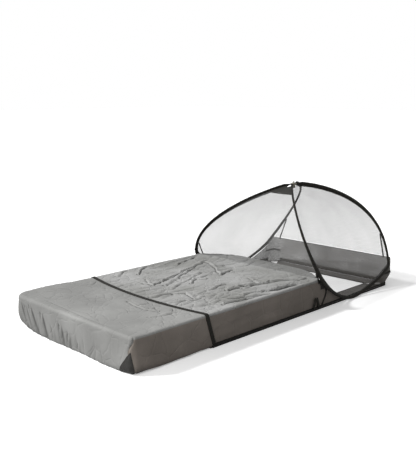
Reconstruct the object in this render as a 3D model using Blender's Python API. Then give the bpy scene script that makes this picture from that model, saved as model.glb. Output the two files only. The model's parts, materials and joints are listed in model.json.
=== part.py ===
# A pop-up mosquito net for a single bed. A boxed cloth cover is drawn over the mattress, and a net
# dome stands over its head end on two closed hoops of sprung wire, tied together at the top.
# Sizes are in metres. X runs from the foot to the head, Z is up, and the near side is at -Y.
import math

import bmesh
import bpy
from mathutils import Vector

# Bed cover
cover_length = 2.000
cover_width = 0.900
cover_height = 0.165
cloth = 0.0015
seam_gap = 0.0004
top_roll = 0.010
foot_tuck = 0.016
near_corner_radius = 0.024
far_corner_radius = 0.060
flap_width = 0.110
elastic_radius = 0.0018
cut_overrun = 0.020

# Folds in the cloth
pleat_depth = 0.007
pleat_pitch = 0.050
pleat_spread = 0.190
pleat_start = 0.028
pleat_zone = 0.320
fold_height = 0.005
fold_pitch = 0.088
fold_bend = 0.016
fold_bend_pitch = 0.410
fold_fade = 0.110

# Dark gusset let into the near foot corner
gusset_width = 0.085
gusset_height = 0.112

# Tapes on the cover
tape_width = 0.021
tape_thick = 0.0012
tape_from_foot = 0.450
tape_bow = 0.050
tape_skew = 0.022
tape_lean = 0.042
hem_width = 0.022
gather_along = 0.085
gather_across = 0.085
gather_up = 0.062
pocket_edge_bow = 0.130

# Hoops, as the places and directions that their wire passes through
hoop_apex_from_head = 0.384
hoop_apex_rise = 0.433
hoop_straight = 0.036
hoop_spacing = 0.012
hoop_apex_foot_handle = 0.020
hoop_apex_head_handle = 0.020
foot_base_from_head = 0.7337
foot_base_rise = 0.010
foot_base_handle_up = 0.3132
foot_base_handle_down = 0.040
floor_point_from_head = 0.4166
floor_clearance = 0.003
floor_handle_foot = 0.159
floor_handle_head = 0.100
head_base_from_head = 0.050
head_base_drop = 0.0363
head_base_handle_up = 0.5370
head_base_handle_down = 0.040
base_stand_off = 0.012
floor_stand_off = 0.016
foot_leg_direction_shares = (0.4454, 0.3371, -1.0)
head_leg_direction_shares = (0.5950, -0.4920, 1.0)
leg_steps = 16
low_steps = 8
apex_gathering = 1.25

# Wire, ferrule and the sleeves round them
wire_radius = 0.0015
wire_ends_gap = 0.001
ferrule_radius = 0.0023
ferrule_wall = 0.0005
ferrule_length = 0.034
sleeve_half_wide = 0.0075
sleeve_half_thick = 0.0045
sleeve_bore = 0.0026
sleeve_from_tie = 0.004
tube_sides = 10

# Tie at the apex, its hang loop and the patch in front of it
tie_length = 0.032
tie_rim = 0.0034
tie_web = 0.0030
tie_web_drop = 0.024
eye_clearance = 0.0004
eye_sides = 20
loop_width = 0.008
loop_half_span = 0.0042
loop_rise = 0.0096
patch_first_station = 3
patch_last_station = 6

# Straps and patches round the feet of the hoops
strap_width = 0.009
leg_patch_reach = 0.067
leg_patch_drop = 0.058
leg_patch_back = 0.016
leg_strap_lean = 0.030
leg_strap_kink = 0.004
corner_strap_height = 0.074
corner_strap_reach = 0.086
corner_strap_return = 0.060
tie_strap_width = 0.006
tab_width = 0.008
tab_rise = 0.032
tab_lean = 0.021
foot_tie_rise = 0.085
foot_tie_inset = 0.028
foot_tie_from_net = 0.014
foot_tie_overlap = 0.010
head_tie_from_side = 0.054
head_tie_rise = 0.125
head_tie_overlap = 0.015
head_net_inset = 0.0180
net_stand_off = 0.0030

# Zip along the near hem
zip_tape_thick = 0.0010
zip_tape_height = 0.0090
zip_gap = 0.0020
zip_overlap = 0.0020
zip_coil_proud = 0.0020
zip_coil_height = 0.0020
zip_head_margin = 0.110
zip_stop_length = 0.004
slider_length = 0.026
slider_plate = 0.0015
slider_clear = 0.0004
slider_lip = 0.0012
slider_post_thick = 0.0013
slider_post_length = 0.009
slider_bevel = 0.0006
slider_pair_middle = 0.239
slider_pair_spacing = 0.052
pull_pin_radius = 0.0015
pull_pin_head_radius = 0.0030
pull_pin_head_thick = 0.0012
pull_thick = 0.0018
pull_eye_radius = 0.0042
pull_tip_radius = 0.0065
pull_length = 0.058
pull_slot_half_width = 0.0018
pull_slot_start = 0.020
pull_slot_end = 0.050
arc_steps = 8

# Worked out from the sizes above
half_length = cover_length / 2
half_width = cover_width / 2
cloth_seat = seam_gap + cloth / 2
strap_level = half_width + seam_gap
zip_coil_level = strap_level + zip_tape_thick + zip_coil_proud
zip_middle = zip_tape_height + zip_gap / 2
zip_top = zip_middle + zip_gap / 2 + zip_tape_height
skirt_bottom = zip_top - zip_overlap
tape_x = -half_length + tape_from_foot
net_line_x = half_length - foot_base_from_head
apex_z = cover_height + hoop_apex_rise
sides = {"near": -1, "far": 1}
zero = Vector((0, 0, 0))


def fresh_scene():
    for old in list(bpy.data.objects):
        bpy.data.objects.remove(old, do_unlink=True)
    assembly = bpy.data.objects.new("bed_net", None)
    bpy.context.scene.collection.objects.link(assembly)
    return assembly


def finish(name, colour, roughness, metallic=0.0):
    made = bpy.data.materials.new(name)
    made.use_nodes = True
    shader = made.node_tree.nodes["Principled BSDF"]
    shader.inputs["Base Color"].default_value = (*colour, 1.0)
    shader.inputs["Roughness"].default_value = roughness
    shader.inputs["Metallic"].default_value = metallic
    made.diffuse_color = (*colour, 1.0)
    return made


def add_object(name, data, material, origin=zero):
    made = bpy.data.objects.new(name, data)
    bpy.context.scene.collection.objects.link(made)
    made.location = origin
    made.parent = bed_net
    if material:
        data.materials.append(material)
    return made


def add_mesh(name, shape, material, origin=zero, smooth=False):
    bmesh.ops.recalc_face_normals(shape, faces=shape.faces)
    data = bpy.data.meshes.new(name)
    shape.to_mesh(data)
    shape.free()
    if smooth:
        data.shade_smooth()
        data.set_sharp_from_angle(angle=math.radians(40))
    return add_object(name, data, material, origin)


def as_cutter(tool):
    tool.hide_render = True
    tool.display_type = "WIRE"
    return tool


def combine(target, tool, operation="DIFFERENCE"):
    step = target.modifiers.new(operation.lower(), "BOOLEAN")
    step.operation = operation
    step.object = tool
    step.solver = "EXACT"


# A closed sheet of cloth whose middle surface runs through rows of points.
def cloth_sheet(name, rows, material, origin=zero, thickness=cloth):
    shape = bmesh.new()
    grid = [[shape.verts.new(point - origin) for point in row] for row in rows]
    for low, high in zip(grid, grid[1:]):
        for i in range(len(low) - 1):
            shape.faces.new((low[i], low[i + 1], high[i + 1], high[i]))
    sheet = add_mesh(name, shape, material, origin, smooth=True)
    wall = sheet.modifiers.new("cloth", "SOLIDIFY")
    wall.thickness = thickness
    wall.offset = 0
    wall.use_even_offset = True
    return sheet


# A flat piece cut to an outline and laid on the floor, on a side or on an end of the cover.
def plate(name, outline, facing, level, thickness, material, origin=zero):
    lay = {
        "floor": lambda u, v: Vector((u, v, level)),
        "side": lambda u, v: Vector((u, level, v)),
        "end": lambda u, v: Vector((level, u, v)),
    }[facing]
    along = {"floor": (0, 0, 1), "side": (0, 1, 0), "end": (1, 0, 0)}[facing]
    shape = bmesh.new()
    face = shape.faces.new([shape.verts.new(lay(u, v) - origin) for u, v in outline])
    raised = bmesh.ops.extrude_face_region(shape, geom=[face])["geom"]
    corners = [part for part in raised if isinstance(part, bmesh.types.BMVert)]
    bmesh.ops.translate(shape, verts=corners, vec=Vector(along) * thickness)
    return add_mesh(name, shape, material, origin)


def rectangle(low_u, low_v, high_u, high_v):
    return [(low_u, low_v), (high_u, low_v), (high_u, high_v), (low_u, high_v)]


# A strap of one width along a path, lying square to its width and its run.
def strap(name, path, across, width, material, origin=zero, thickness=tape_thick):
    shape = bmesh.new()
    rings = []
    for i, point in enumerate(path):
        run = (path[min(i + 1, len(path) - 1)] - path[max(i - 1, 0)]).normalized()
        side = (across - run * across.dot(run)).normalized() * width / 2
        up = run.cross(side).normalized() * thickness / 2
        ring = [point - side - up, point + side - up, point + side + up, point - side + up]
        rings.append([shape.verts.new(corner - origin) for corner in ring])
    for low, high in zip(rings, rings[1:]):
        for i in range(4):
            shape.faces.new((low[i], low[(i + 1) % 4], high[(i + 1) % 4], high[i]))
    shape.faces.new(rings[0])
    shape.faces.new(rings[-1])
    return add_mesh(name, shape, material, origin)


def bezier(start, leave, arrive, end, shares):
    points = []
    for t in shares:
        s = 1 - t
        points.append(start * s**3 + leave * 3 * s * s * t + arrive * 3 * s * t * t + end * t**3)
    return points


# One closed hoop: down its foot leg, along the floor, up its head leg and through the tie.
# Each station is the wire's centre, the wire's direction, and the direction out of the side.
def hoop_stations(side):
    def at(from_head, out, height):
        return Vector((half_length - from_head, side * out, height))

    def turned(shares):
        return Vector((shares[0], side * shares[1], shares[2])).normalized()

    along = Vector((1, 0, 0))
    half_straight = hoop_straight / 2
    floor_z = floor_clearance + sleeve_half_wide
    apex_foot = at(hoop_apex_from_head + half_straight, hoop_spacing / 2, apex_z)
    apex_head = at(hoop_apex_from_head - half_straight, hoop_spacing / 2, apex_z)
    foot_base = at(foot_base_from_head, half_width + base_stand_off, cover_height + foot_base_rise)
    floor_point = at(floor_point_from_head, half_width + floor_stand_off, floor_z)
    head_base = at(head_base_from_head, half_width + base_stand_off, cover_height - head_base_drop)
    down = turned(foot_leg_direction_shares)
    up = turned(head_leg_direction_shares)
    from_apex = [(i / leg_steps) ** apex_gathering for i in range(leg_steps)]
    to_apex = [1 - ((leg_steps - i) / leg_steps) ** apex_gathering for i in range(leg_steps)]
    evenly = [i / low_steps for i in range(low_steps)]
    centres = bezier(
        apex_foot,
        apex_foot - along * hoop_apex_foot_handle,
        foot_base - down * foot_base_handle_up,
        foot_base,
        from_apex,
    )
    centres += bezier(
        foot_base,
        foot_base + down * foot_base_handle_down,
        floor_point - along * floor_handle_foot,
        floor_point,
        evenly,
    )
    centres += bezier(
        floor_point,
        floor_point + along * floor_handle_head,
        head_base - up * head_base_handle_down,
        head_base,
        evenly,
    )
    centres += bezier(
        head_base,
        head_base + up * head_base_handle_up,
        apex_head + along * hoop_apex_head_handle,
        apex_head,
        to_apex,
    )
    centres.append(apex_head)
    stations = []
    for i, centre in enumerate(centres):
        run = (centres[(i + 1) % len(centres)] - centres[i - 1]).normalized()
        if i == 0 or i == len(centres) - 1:
            run = along * -1
        out = Vector((0, side, 0))
        out = (out - run * out.dot(run)).normalized()
        stations.append((centre, run, out))
    return stations


def moved_towards(station, neighbour, distance):
    centre, run, out = station
    chord = (neighbour[0] - centre).normalized()
    return (centre + chord * distance, run, out)


# The same, with the cut made square to the wire, where nothing continues the sleeve.
def square_end(station, neighbour, distance):
    centre, run, out = station
    chord = (neighbour[0] - centre).normalized()
    run = chord if chord.dot(run) > 0 else -chord
    out = (out - run * out.dot(run)).normalized()
    return (centre + chord * distance, run, out)


# A sleeve or ferrule: an oval tube with a bore, along the hoop's own stations.
def hoop_tube(name, stations, half_wide, half_thick, bore, material, origin):
    shape = bmesh.new()

    def ring(station, wide, thick):
        centre, run, out = station
        across = run.cross(out)
        turns = [2 * math.pi * i / tube_sides for i in range(tube_sides)]
        points = [centre + across * wide * math.cos(a) + out * thick * math.sin(a) for a in turns]
        return [shape.verts.new(point - origin) for point in points]

    outer = [ring(station, half_wide, half_thick) for station in stations]
    inner = [ring(station, bore, bore) for station in stations]
    walls = list(zip(outer, outer[1:])) + list(zip(inner, inner[1:]))
    walls += [(outer[0], inner[0]), (outer[-1], inner[-1])]
    for low, high in walls:
        for i in range(tube_sides):
            j = (i + 1) % tube_sides
            shape.faces.new((low[i], low[j], high[j], high[i]))
    return add_mesh(name, shape, material, origin, smooth=True)


def round_cord(name, points, radius, material, origin=zero, closed=False):
    data = bpy.data.curves.new(name, "CURVE")
    data.dimensions = "3D"
    data.bevel_depth = radius
    data.bevel_resolution = 2
    data.use_fill_caps = not closed
    spline = data.splines.new("POLY")
    spline.points.add(len(points) - 1)
    spline.use_cyclic_u = closed
    for place, point in zip(spline.points, points):
        place.co = (*(point - origin), 1.0)
    return add_object(name, data, material, origin)


def hinge_place(side):
    return Vector((half_length - hoop_apex_from_head, side * hoop_spacing / 2, apex_z))


# The wire's ends meet inside a ferrule, halfway along the floor side of the hoop.
def build_hoop(word, side):
    origin = hinge_place(side)
    stations = hoop_stations(side)
    joint = leg_steps + low_steps + low_steps // 2
    joint_run = (stations[joint + 1][0] - stations[joint][0]).normalized()
    joint_middle = (stations[joint][0] + stations[joint + 1][0]) / 2
    joint_out = stations[joint][2]
    start = joint_middle + joint_run * wire_ends_gap / 2
    end = joint_middle - joint_run * wire_ends_gap / 2
    around = [centre for centre, run, out in stations[joint + 1 :] + stations[: joint + 1]]
    round_cord(f"wire_{word}", [start, *around, end], wire_radius, spring_steel, origin)
    ferrule_ends = [
        (joint_middle + joint_run * reach, joint_run, joint_out)
        for reach in (-ferrule_length / 2, ferrule_length / 2)
    ]
    bore = ferrule_radius - ferrule_wall
    hoop_tube(f"ferrule_{word}", ferrule_ends, ferrule_radius, ferrule_radius, bore, zinc, origin)
    last = len(stations) - 1
    head_base = last - leg_steps
    spans = (
        ("foot", 0, leg_steps, sleeve_from_tie, seam_gap / 2),
        ("low", leg_steps, head_base, seam_gap / 2, seam_gap / 2),
        ("head", head_base, last, seam_gap / 2, sleeve_from_tie),
    )
    for place, first, final, first_inset, final_inset in spans:
        first_end = square_end if first == 0 else moved_towards
        final_end = square_end if final == last else moved_towards
        run = [first_end(stations[first], stations[first + 1], first_inset)]
        run += stations[first + 1 : final]
        run.append(final_end(stations[final], stations[final - 1], final_inset))
        hoop_tube(
            f"sleeve_{place}_{word}",
            run,
            sleeve_half_wide,
            sleeve_half_thick,
            sleeve_bore,
            sleeve_cloth,
            origin,
        )
    build_side_net(word, side, stations, origin)


# The net that fills a hoop runs from its foot half to its head half, station by station.
def build_side_net(word, side, stations, origin):
    inset = sleeve_half_wide + 2 * seam_gap
    last = len(stations) - 1
    columns = 8
    rows = []
    for i in range(2, leg_steps + low_steps):
        ends = []
        for station in (stations[i], stations[last - i]):
            centre, run, out = station
            ends.append(centre + run.cross(out) * inset * side)
        rows.append([ends[0].lerp(ends[1], j / columns) for j in range(columns + 1)])
    cloth_sheet(f"side_net_{word}", rows, net_cloth, origin)


def seat_inside(station):
    centre, run, out = station
    return centre - out * (sleeve_half_thick + seam_gap)


# A net between the same legs of the two hoops, and down to a straight edge on the cover.
def net_between_legs(name, places, edge_x, edge_half_width, material):
    near = hoop_stations(-1)
    columns = 10
    rows = []
    for i in places:
        near_end = seat_inside(near[i])
        far_end = Vector((near_end.x, -near_end.y, near_end.z))
        rows.append([near_end.lerp(far_end, j / columns) for j in range(columns + 1)])
    if edge_half_width:
        near_end = Vector((edge_x, -edge_half_width, cover_height + seam_gap))
        far_end = Vector((edge_x, edge_half_width, cover_height + seam_gap))
        rows.append([near_end.lerp(far_end, j / columns) for j in range(columns + 1)])
    cloth_sheet(name, rows, material)


def build_dome():
    last = len(hoop_stations(-1)) - 1
    top_edge = half_width - top_roll
    front = range(patch_last_station, leg_steps + 1)
    net_between_legs("front_net", front, net_line_x, top_edge, net_cloth)
    build_apex_patch(range(patch_first_station, patch_last_station + 1))
    head = [last - i for i in range(2, leg_steps)]
    edge_x = half_length - cloth / 2
    net_between_legs("head_net", head, edge_x, half_width - head_net_inset, net_cloth)
    for word, side in sides.items():
        build_leg_ties(word, side)


# The dark patch closes the tip of the front net, and a seam gap parts the two.
def build_apex_patch(places):
    near = hoop_stations(-1)
    points = [seat_inside(near[i]) for i in places]
    run = (points[-1] - points[-2]).normalized()
    points[-1] = points[-1] - run * seam_gap
    rows = [[Vector((p.x, p.y, p.z)), Vector((p.x, 0, p.z)), Vector((p.x, -p.y, p.z))] for p in points]
    cloth_sheet("apex_patch", rows, binding)


# Narrow tapes tie the net's legs down: at the head to the end panel, at the foot to the top cloth.
def build_leg_ties(word, side):
    stations = hoop_stations(side)
    last = len(stations) - 1
    flat = half_length + seam_gap + tape_thick / 2
    sewn_y = half_width - head_tie_from_side
    sewn = Vector((flat, side * sewn_y, cover_height + cloth_seat))
    leg = seat_inside(stations[last - leg_steps + 2])
    share = head_tie_rise / (leg.z - sewn.z)
    top_x = half_length + (leg.x - half_length) * share + net_stand_off
    top_y = sewn_y + (abs(leg.y) - sewn_y) * share - tie_strap_width
    top = Vector((top_x, side * top_y, sewn.z + head_tie_rise))
    path = [sewn - Vector((0, 0, head_tie_overlap)), sewn, top]
    strap(f"head_tie_{word}", path, Vector((0, 1, 0)), tie_strap_width, binding)
    seats = [seat_inside(station) for station in stations[:leg_steps]]
    held = min(seats, key=lambda seat: abs(seat.z - cover_height - foot_tie_rise))
    start = held + Vector((sleeve_half_wide, -side * net_stand_off, 0))
    height = cover_height + seam_gap + tape_thick / 2
    foot_y = half_width - foot_tie_inset
    landing = Vector((net_line_x + foot_tie_from_net, side * foot_y, height + seam_gap))
    end = landing + Vector((0, -side * foot_tie_overlap, 0))
    strap(f"foot_tie_{word}", [start, landing, end], Vector((1, 0, 0)), tie_strap_width, binding)


# Two eyes in one stitched band hold the hoops together and let each one turn.
def build_apex_tie():
    middle = Vector((half_length - hoop_apex_from_head, 0, apex_z))
    eye = wire_radius + eye_clearance
    rim = eye + tie_rim
    outline = []
    for i in range(eye_sides + 1):
        angle = math.pi * (i / eye_sides - 0.5)
        outline.append((hoop_spacing / 2 + rim * math.cos(angle), apex_z + rim * math.sin(angle)))
    for i in range(eye_sides + 1):
        angle = math.pi * (i / eye_sides + 0.5)
        outline.append((-hoop_spacing / 2 + rim * math.cos(angle), apex_z + rim * math.sin(angle)))
    web_low = apex_z - tie_web_drop
    outline += [(-tie_web / 2, apex_z - rim), (-tie_web / 2, web_low)]
    outline += [(tie_web / 2, web_low), (tie_web / 2, apex_z - rim)]
    tie = plate("apex_tie", outline, "end", middle.x - tie_length / 2, tie_length, webbing)
    for word, side in sides.items():
        hole = [
            (
                side * hoop_spacing / 2 + eye * math.cos(2 * math.pi * i / eye_sides),
                apex_z + eye * math.sin(2 * math.pi * i / eye_sides),
            )
            for i in range(eye_sides)
        ]
        start = middle.x - tie_length / 2 - cut_overrun
        tool = plate(f"eye_cut_{word}", hole, "end", start, tie_length + 2 * cut_overrun, None)
        combine(tie, as_cutter(tool))
    foot_z = apex_z + rim + seam_gap
    reach = loop_half_span
    path = [Vector((middle.x, -reach, foot_z)), Vector((middle.x, -reach, foot_z + loop_rise - reach))]
    for i in range(1, arc_steps):
        angle = math.pi * i / arc_steps
        height = foot_z + loop_rise - reach + reach * math.sin(angle)
        path.append(Vector((middle.x, -reach * math.cos(angle), height)))
    path += [Vector((middle.x, reach, foot_z + loop_rise - reach)), Vector((middle.x, reach, foot_z))]
    strap("hang_loop", path, Vector((1, 0, 0)), loop_width, webbing)


# Each point is a distance in from the outer face and a height, from the hem up to the top.
def rolled_profile(low, high, tuck, roll):
    inner = cloth / 2
    points = []
    if tuck:
        for i in range(4):
            angle = math.pi / 2 * i / 3
            points.append((tuck - (tuck - inner) * math.sin(angle), tuck - (tuck - inner) * math.cos(angle)))
    else:
        points.append((inner, low))
    for i in range(4):
        angle = math.pi / 2 * i / 3
        points.append((roll - (roll - inner) * math.cos(angle), high - roll + (roll - inner) * math.sin(angle)))
    return points


def side_panel(name, side, low_x, high_x, low_z, tuck, material):
    profile = rolled_profile(low_z, cover_height, tuck, top_roll)
    rows = [
        [Vector((x, side * (half_width - inset), height)) for x in (low_x, high_x)]
        for inset, height in profile
    ]
    return cloth_sheet(name, rows, material)


# The foot end's plan curve, from the near side to the far side, with the way out at each point.
def foot_plan():
    points = []
    near_steps = 5
    plain_steps = 5
    pleated_steps = 30
    far_steps = 12
    for i in range(near_steps + 1):
        angle = math.pi / 2 * i / near_steps
        out = Vector((-math.sin(angle), -math.cos(angle), 0))
        middle = Vector((-half_length + near_corner_radius, -half_width + near_corner_radius, 0))
        points.append((middle + out * near_corner_radius, out))
    low_y = -half_width + near_corner_radius
    high_y = half_width - far_corner_radius
    zone_y = high_y - pleat_zone
    plain = spread(low_y, zone_y, plain_steps)[1:]
    for y in plain + spread(zone_y, high_y, pleated_steps)[1:-1]:
        points.append((Vector((-half_length, y, 0)), Vector((-1, 0, 0))))
    for i in range(far_steps + 1):
        angle = math.pi / 2 * i / far_steps
        out = Vector((-math.cos(angle), math.sin(angle), 0))
        middle = Vector((-half_length + far_corner_radius, half_width - far_corner_radius, 0))
        points.append((middle + out * far_corner_radius, out))
    return points


# Pleats run up and down the foot end and deepen towards the gathered far corner.
def foot_end_sheet(name, material):
    plan = foot_plan()
    profile = rolled_profile(0, cover_height, foot_tuck, top_roll)
    tucked, rolled = profile[:4], profile[4:]
    heights = spread(tucked[-1][1], rolled[0][1], 4)[1:-1]
    profile = [*tucked, *[(cloth / 2, height) for height in heights], *rolled]
    run = 0
    runs = [0]
    for (a, _), (b, _) in zip(plan, plan[1:]):
        run += (b - a).length
        runs.append(run)
    rows = []
    for inset, height in profile:
        low = min(1, height / pleat_start)
        high = min(1, (cover_height - height) / pleat_start)
        row = []
        for (place, out), distance in zip(plan, runs):
            left = run - distance
            gather = math.exp(-((left / pleat_spread) ** 2)) * min(1, left / pleat_pitch)
            wave = (1 - math.cos(2 * math.pi * left / pleat_pitch)) / 2
            depth = inset + pleat_depth * gather * wave * low * high
            row.append(Vector((place.x, place.y, height)) - out * depth)
        rows.append(row)
    return cloth_sheet(name, rows, material)


def gusset_prism(name, grow):
    low = -half_width - cut_overrun
    outline = [
        (low, -cut_overrun),
        (-half_width + gusset_width + grow, -cut_overrun),
        (-half_width + gusset_width + grow, 0),
        (-half_width, gusset_height + grow),
        (low, gusset_height + grow),
    ]
    start = -half_length - cut_overrun
    depth = cut_overrun + near_corner_radius + cut_overrun
    return as_cutter(plate(name, outline, "end", start, depth, None))


def tape_line(y):
    share = y / half_width
    return tape_x + tape_skew * share - tape_bow * (1 - share**2)


# How far in from the foot the top panel starts, round the two corners of the foot end.
def foot_line(y, inset):
    radius = near_corner_radius if y < 0 else far_corner_radius
    past = abs(y) - (half_width - radius)
    reach = radius - inset
    if past <= 0:
        return -half_length + inset
    return -half_length + radius - math.sqrt(max(0, reach * reach - past * past))


def spread(low, high, count):
    return [low + (high - low) * i / count for i in range(count + 1)]


def build_foot_pocket():
    panel = foot_end_sheet("foot_end_panel", cover_cloth)
    combine(panel, gusset_prism("gusset_cut", 2 * seam_gap))
    gusset = foot_end_sheet("foot_gusset", dark_net)
    combine(gusset, gusset_prism("gusset_keep", 0), "INTERSECT")
    inset = top_roll + 2 * seam_gap
    edge = half_width - inset
    near_corner = near_corner_radius - inset
    far_corner = far_corner_radius - inset
    ys = [-edge, -edge + near_corner * (1 - math.cos(math.pi / 4))]
    ys += spread(near_corner - edge, edge - far_corner, 12)
    for i in range(1, 7):
        ys.append(edge - far_corner + far_corner * math.sin(math.pi / 2 * i / 6))
    height = cover_height - cloth / 2
    rows = []
    for y in ys:
        ends = spread(foot_line(y, inset), tape_line(y) - seam_gap, 4)
        rows.append([Vector((x, y, height)) for x in ends])
    cloth_sheet("foot_top_panel", rows, cover_cloth)
    for word, side in sides.items():
        radius = near_corner_radius if side < 0 else far_corner_radius
        low_x = -half_length + radius + seam_gap
        side_panel(
            f"foot_side_{word}", side, low_x, tape_x - seam_gap / 2, 0, foot_tuck, cover_cloth
        )


# Main folds of the loose cloth: long waves that wander a little, gone at the panel's edges.
def fold_rise(x, y, from_foot, from_head, from_side):
    fade = 1
    for distance in (from_foot, from_head, from_side):
        fade *= min(1, distance / fold_fade)
    bent = y + fold_bend * math.sin(2 * math.pi * x / fold_bend_pitch) + x * fold_bend / fold_pitch
    wave = (1 + math.cos(2 * math.pi * bent / fold_pitch)) / 2
    return fold_height * fade * wave


def build_middle():
    inset = top_roll + 2 * seam_gap
    edge = half_width - inset
    height = cover_height - cloth / 2
    high_flat = net_line_x - cloth
    rows = []
    for y in spread(-edge, edge, 24):
        low = tape_line(y) + seam_gap
        low_flat = low + tape_width / 2 + seam_gap
        high = net_line_x + pocket_edge_bow * (1 - (y / edge) ** 4)
        row = [Vector((low, y, height))]
        for x in spread(low_flat, high_flat, 13):
            rise = fold_rise(x, y, x - low_flat, high_flat - x, edge - abs(y))
            row.append(Vector((x, y, height + rise)))
        row.append(Vector((high, y, height)))
        rows.append(row)
    cloth_sheet("middle_top_panel", rows, cover_cloth)
    window = hoop_window()
    floor_x = half_length - floor_point_from_head
    for word, side in sides.items():
        low_z = skirt_bottom if side < 0 else cloth
        skirt = side_panel(
            f"skirt_{word}", side, tape_x + seam_gap / 2, floor_x, low_z, 0, side_cloth
        )
        combine(skirt, window)
        corner = side_panel(
            f"corner_skirt_{word}", side, floor_x + seam_gap, half_length, low_z, 0, side_net_cloth
        )
        combine(corner, window)
    edge = half_width - cloth - seam_gap
    right = [
        (edge, cloth),
        (edge, cover_height - top_roll),
        (half_width - top_roll - seam_gap, cover_height - cloth - seam_gap),
        (half_width - top_roll - seam_gap, cover_height),
    ]
    outline = right + [(-y, z) for y, z in reversed(right)]
    plate("head_end_panel", outline, "end", half_length - cloth, cloth, side_net_cloth)


# At the head's two lower corners the elastic draws the net in to a slanting face.
def gather_corners(side):
    return [
        Vector((half_length - gather_along, side * half_width, 0)),
        Vector((half_length, side * half_width, gather_up)),
        Vector((half_length, side * (half_width - gather_across), 0)),
    ]


def gather_way_out(side):
    first, second, third = gather_corners(side)
    slant = (second - first).cross(third - first).normalized()
    return slant if slant.z < 0 else -slant


def slanting_wedge(name, corners, low, high, material):
    shape = bmesh.new()
    bottom = shape.faces.new([shape.verts.new(corner + low) for corner in corners])
    raised = bmesh.ops.extrude_face_region(shape, geom=[bottom])["geom"]
    top = [part for part in raised if isinstance(part, bmesh.types.BMVert)]
    bmesh.ops.translate(shape, verts=top, vec=high - low)
    return add_mesh(name, shape, material)


def build_gathers():
    inset = (cloth + seam_gap) * 3 / 2
    for word, side in sides.items():
        corners = gather_corners(side)
        out = gather_way_out(side)
        middle = sum(corners, zero.copy()) / 3
        wide = [middle + (corner - middle) * 2 for corner in corners]
        reach = out * gather_up * 2
        cutter = as_cutter(slanting_wedge(f"gather_cut_{word}", wide, zero, reach, None))
        panels = ["head_end_panel", "under_flap_head", "hem_tape_head"]
        panels += [f"corner_skirt_{word}", f"under_flap_{word}", f"hem_tape_{word}"]
        for panel in panels:
            combine(bpy.data.objects[panel], cutter)
        closer = []
        for i, corner in enumerate(corners):
            to_last = (corners[i - 1] - corner).normalized()
            to_next = (corners[(i + 1) % 3] - corner).normalized()
            half_angle = math.acos(to_last.dot(to_next)) / 2
            closer.append(corner + (to_last + to_next).normalized() * inset / math.sin(half_angle))
        slanting_wedge(f"corner_gather_{word}", closer, zero, -out * cloth, side_net_cloth)


# The opening that each hoop leaves in the cover's side, closed by the hoop's own net.
def hoop_window():
    stations = hoop_stations(1)
    last = len(stations) - 1
    above = stations[last - leg_steps + 1][0].z
    outline = [(net_line_x, above)]
    outline += [(centre.x, centre.z) for centre, run, out in stations[leg_steps : last - leg_steps + 1]]
    for centre, run, out in stations[last - leg_steps : last - leg_steps + 2]:
        past_sleeve = (sleeve_half_wide + 2 * seam_gap) / abs(run.cross(out).x)
        outline.append((centre.x + past_sleeve, centre.z))
    start = -half_width - cut_overrun
    return as_cutter(
        plate("hoop_window_cut", outline, "side", start, cover_width + 2 * cut_overrun, None)
    )


def build_tapes():
    edge = half_width - top_roll
    across = spread(-edge, edge, 16)
    outline = [(tape_line(y) - tape_width / 2, y) for y in across]
    outline += [(tape_line(y) + tape_width / 2, y) for y in reversed(across)]
    plate("cross_tape_top", outline, "floor", cover_height + seam_gap, tape_thick, binding)
    for word, side in sides.items():
        low = zip_top + seam_gap if side < 0 else hem_width + seam_gap
        high = cover_height - top_roll
        top_x = tape_x + side * tape_skew - tape_width / 2
        low_x = top_x + tape_lean if side < 0 else top_x
        drop = [(low_x, low), (low_x + tape_width, low), (top_x + tape_width, high), (top_x, high)]
        level = -strap_level - tape_thick if side < 0 else strap_level
        plate(f"cross_tape_{word}", drop, "side", level, tape_thick, binding)
    far_hem = rectangle(tape_x, 0, half_length, hem_width)
    plate("hem_tape_far", far_hem, "side", strap_level, tape_thick, binding)
    near_hem = rectangle(half_length - zip_head_margin + seam_gap, 0, half_length, hem_width)
    plate("hem_tape_near", near_hem, "side", -strap_level - tape_thick, tape_thick, binding)
    edge = half_width - seam_gap
    head_hem = rectangle(-edge, 0, edge, hem_width)
    plate("hem_tape_head", head_hem, "end", half_length + seam_gap, tape_thick, binding)


# Flat flaps that lie under the mattress, mitred at the corners, with a cord in their hem.
def build_flaps():
    seam = foot_tuck + 2 * seam_gap
    head_x = half_length - cloth - seam_gap
    side_y = half_width - cloth - seam_gap
    inner_y = half_width - flap_width
    inner_low_x = -half_length + foot_tuck + flap_width
    inner_high_x = half_length - flap_width
    for word, side in sides.items():
        start = -half_length + (near_corner_radius if side < 0 else far_corner_radius)
        outline = [
            (start + seam_gap, half_width - seam),
            (tape_x, half_width - seam),
            (tape_x, side_y),
            (head_x - seam_gap, side_y),
            (inner_high_x - seam_gap, inner_y),
            (inner_low_x + seam_gap, inner_y),
        ]
        outline = [(x, side * y) for x, y in outline]
        plate(f"under_flap_{word}", outline, "floor", 0, cloth, flap_cloth)
    foot = [place - out * seam for place, out in foot_plan()]
    outline = [(place.x, place.y) for place in foot]
    outline += [(inner_low_x - seam_gap, inner_y), (inner_low_x - seam_gap, -inner_y)]
    plate("under_flap_foot", outline, "floor", 0, cloth, flap_cloth)
    head = [(head_x, -side_y), (head_x, side_y), (inner_high_x, inner_y), (inner_high_x, -inner_y)]
    plate("under_flap_head", head, "floor", 0, cloth, flap_cloth)
    build_hem_elastic(inner_low_x, inner_high_x, inner_y)


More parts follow.
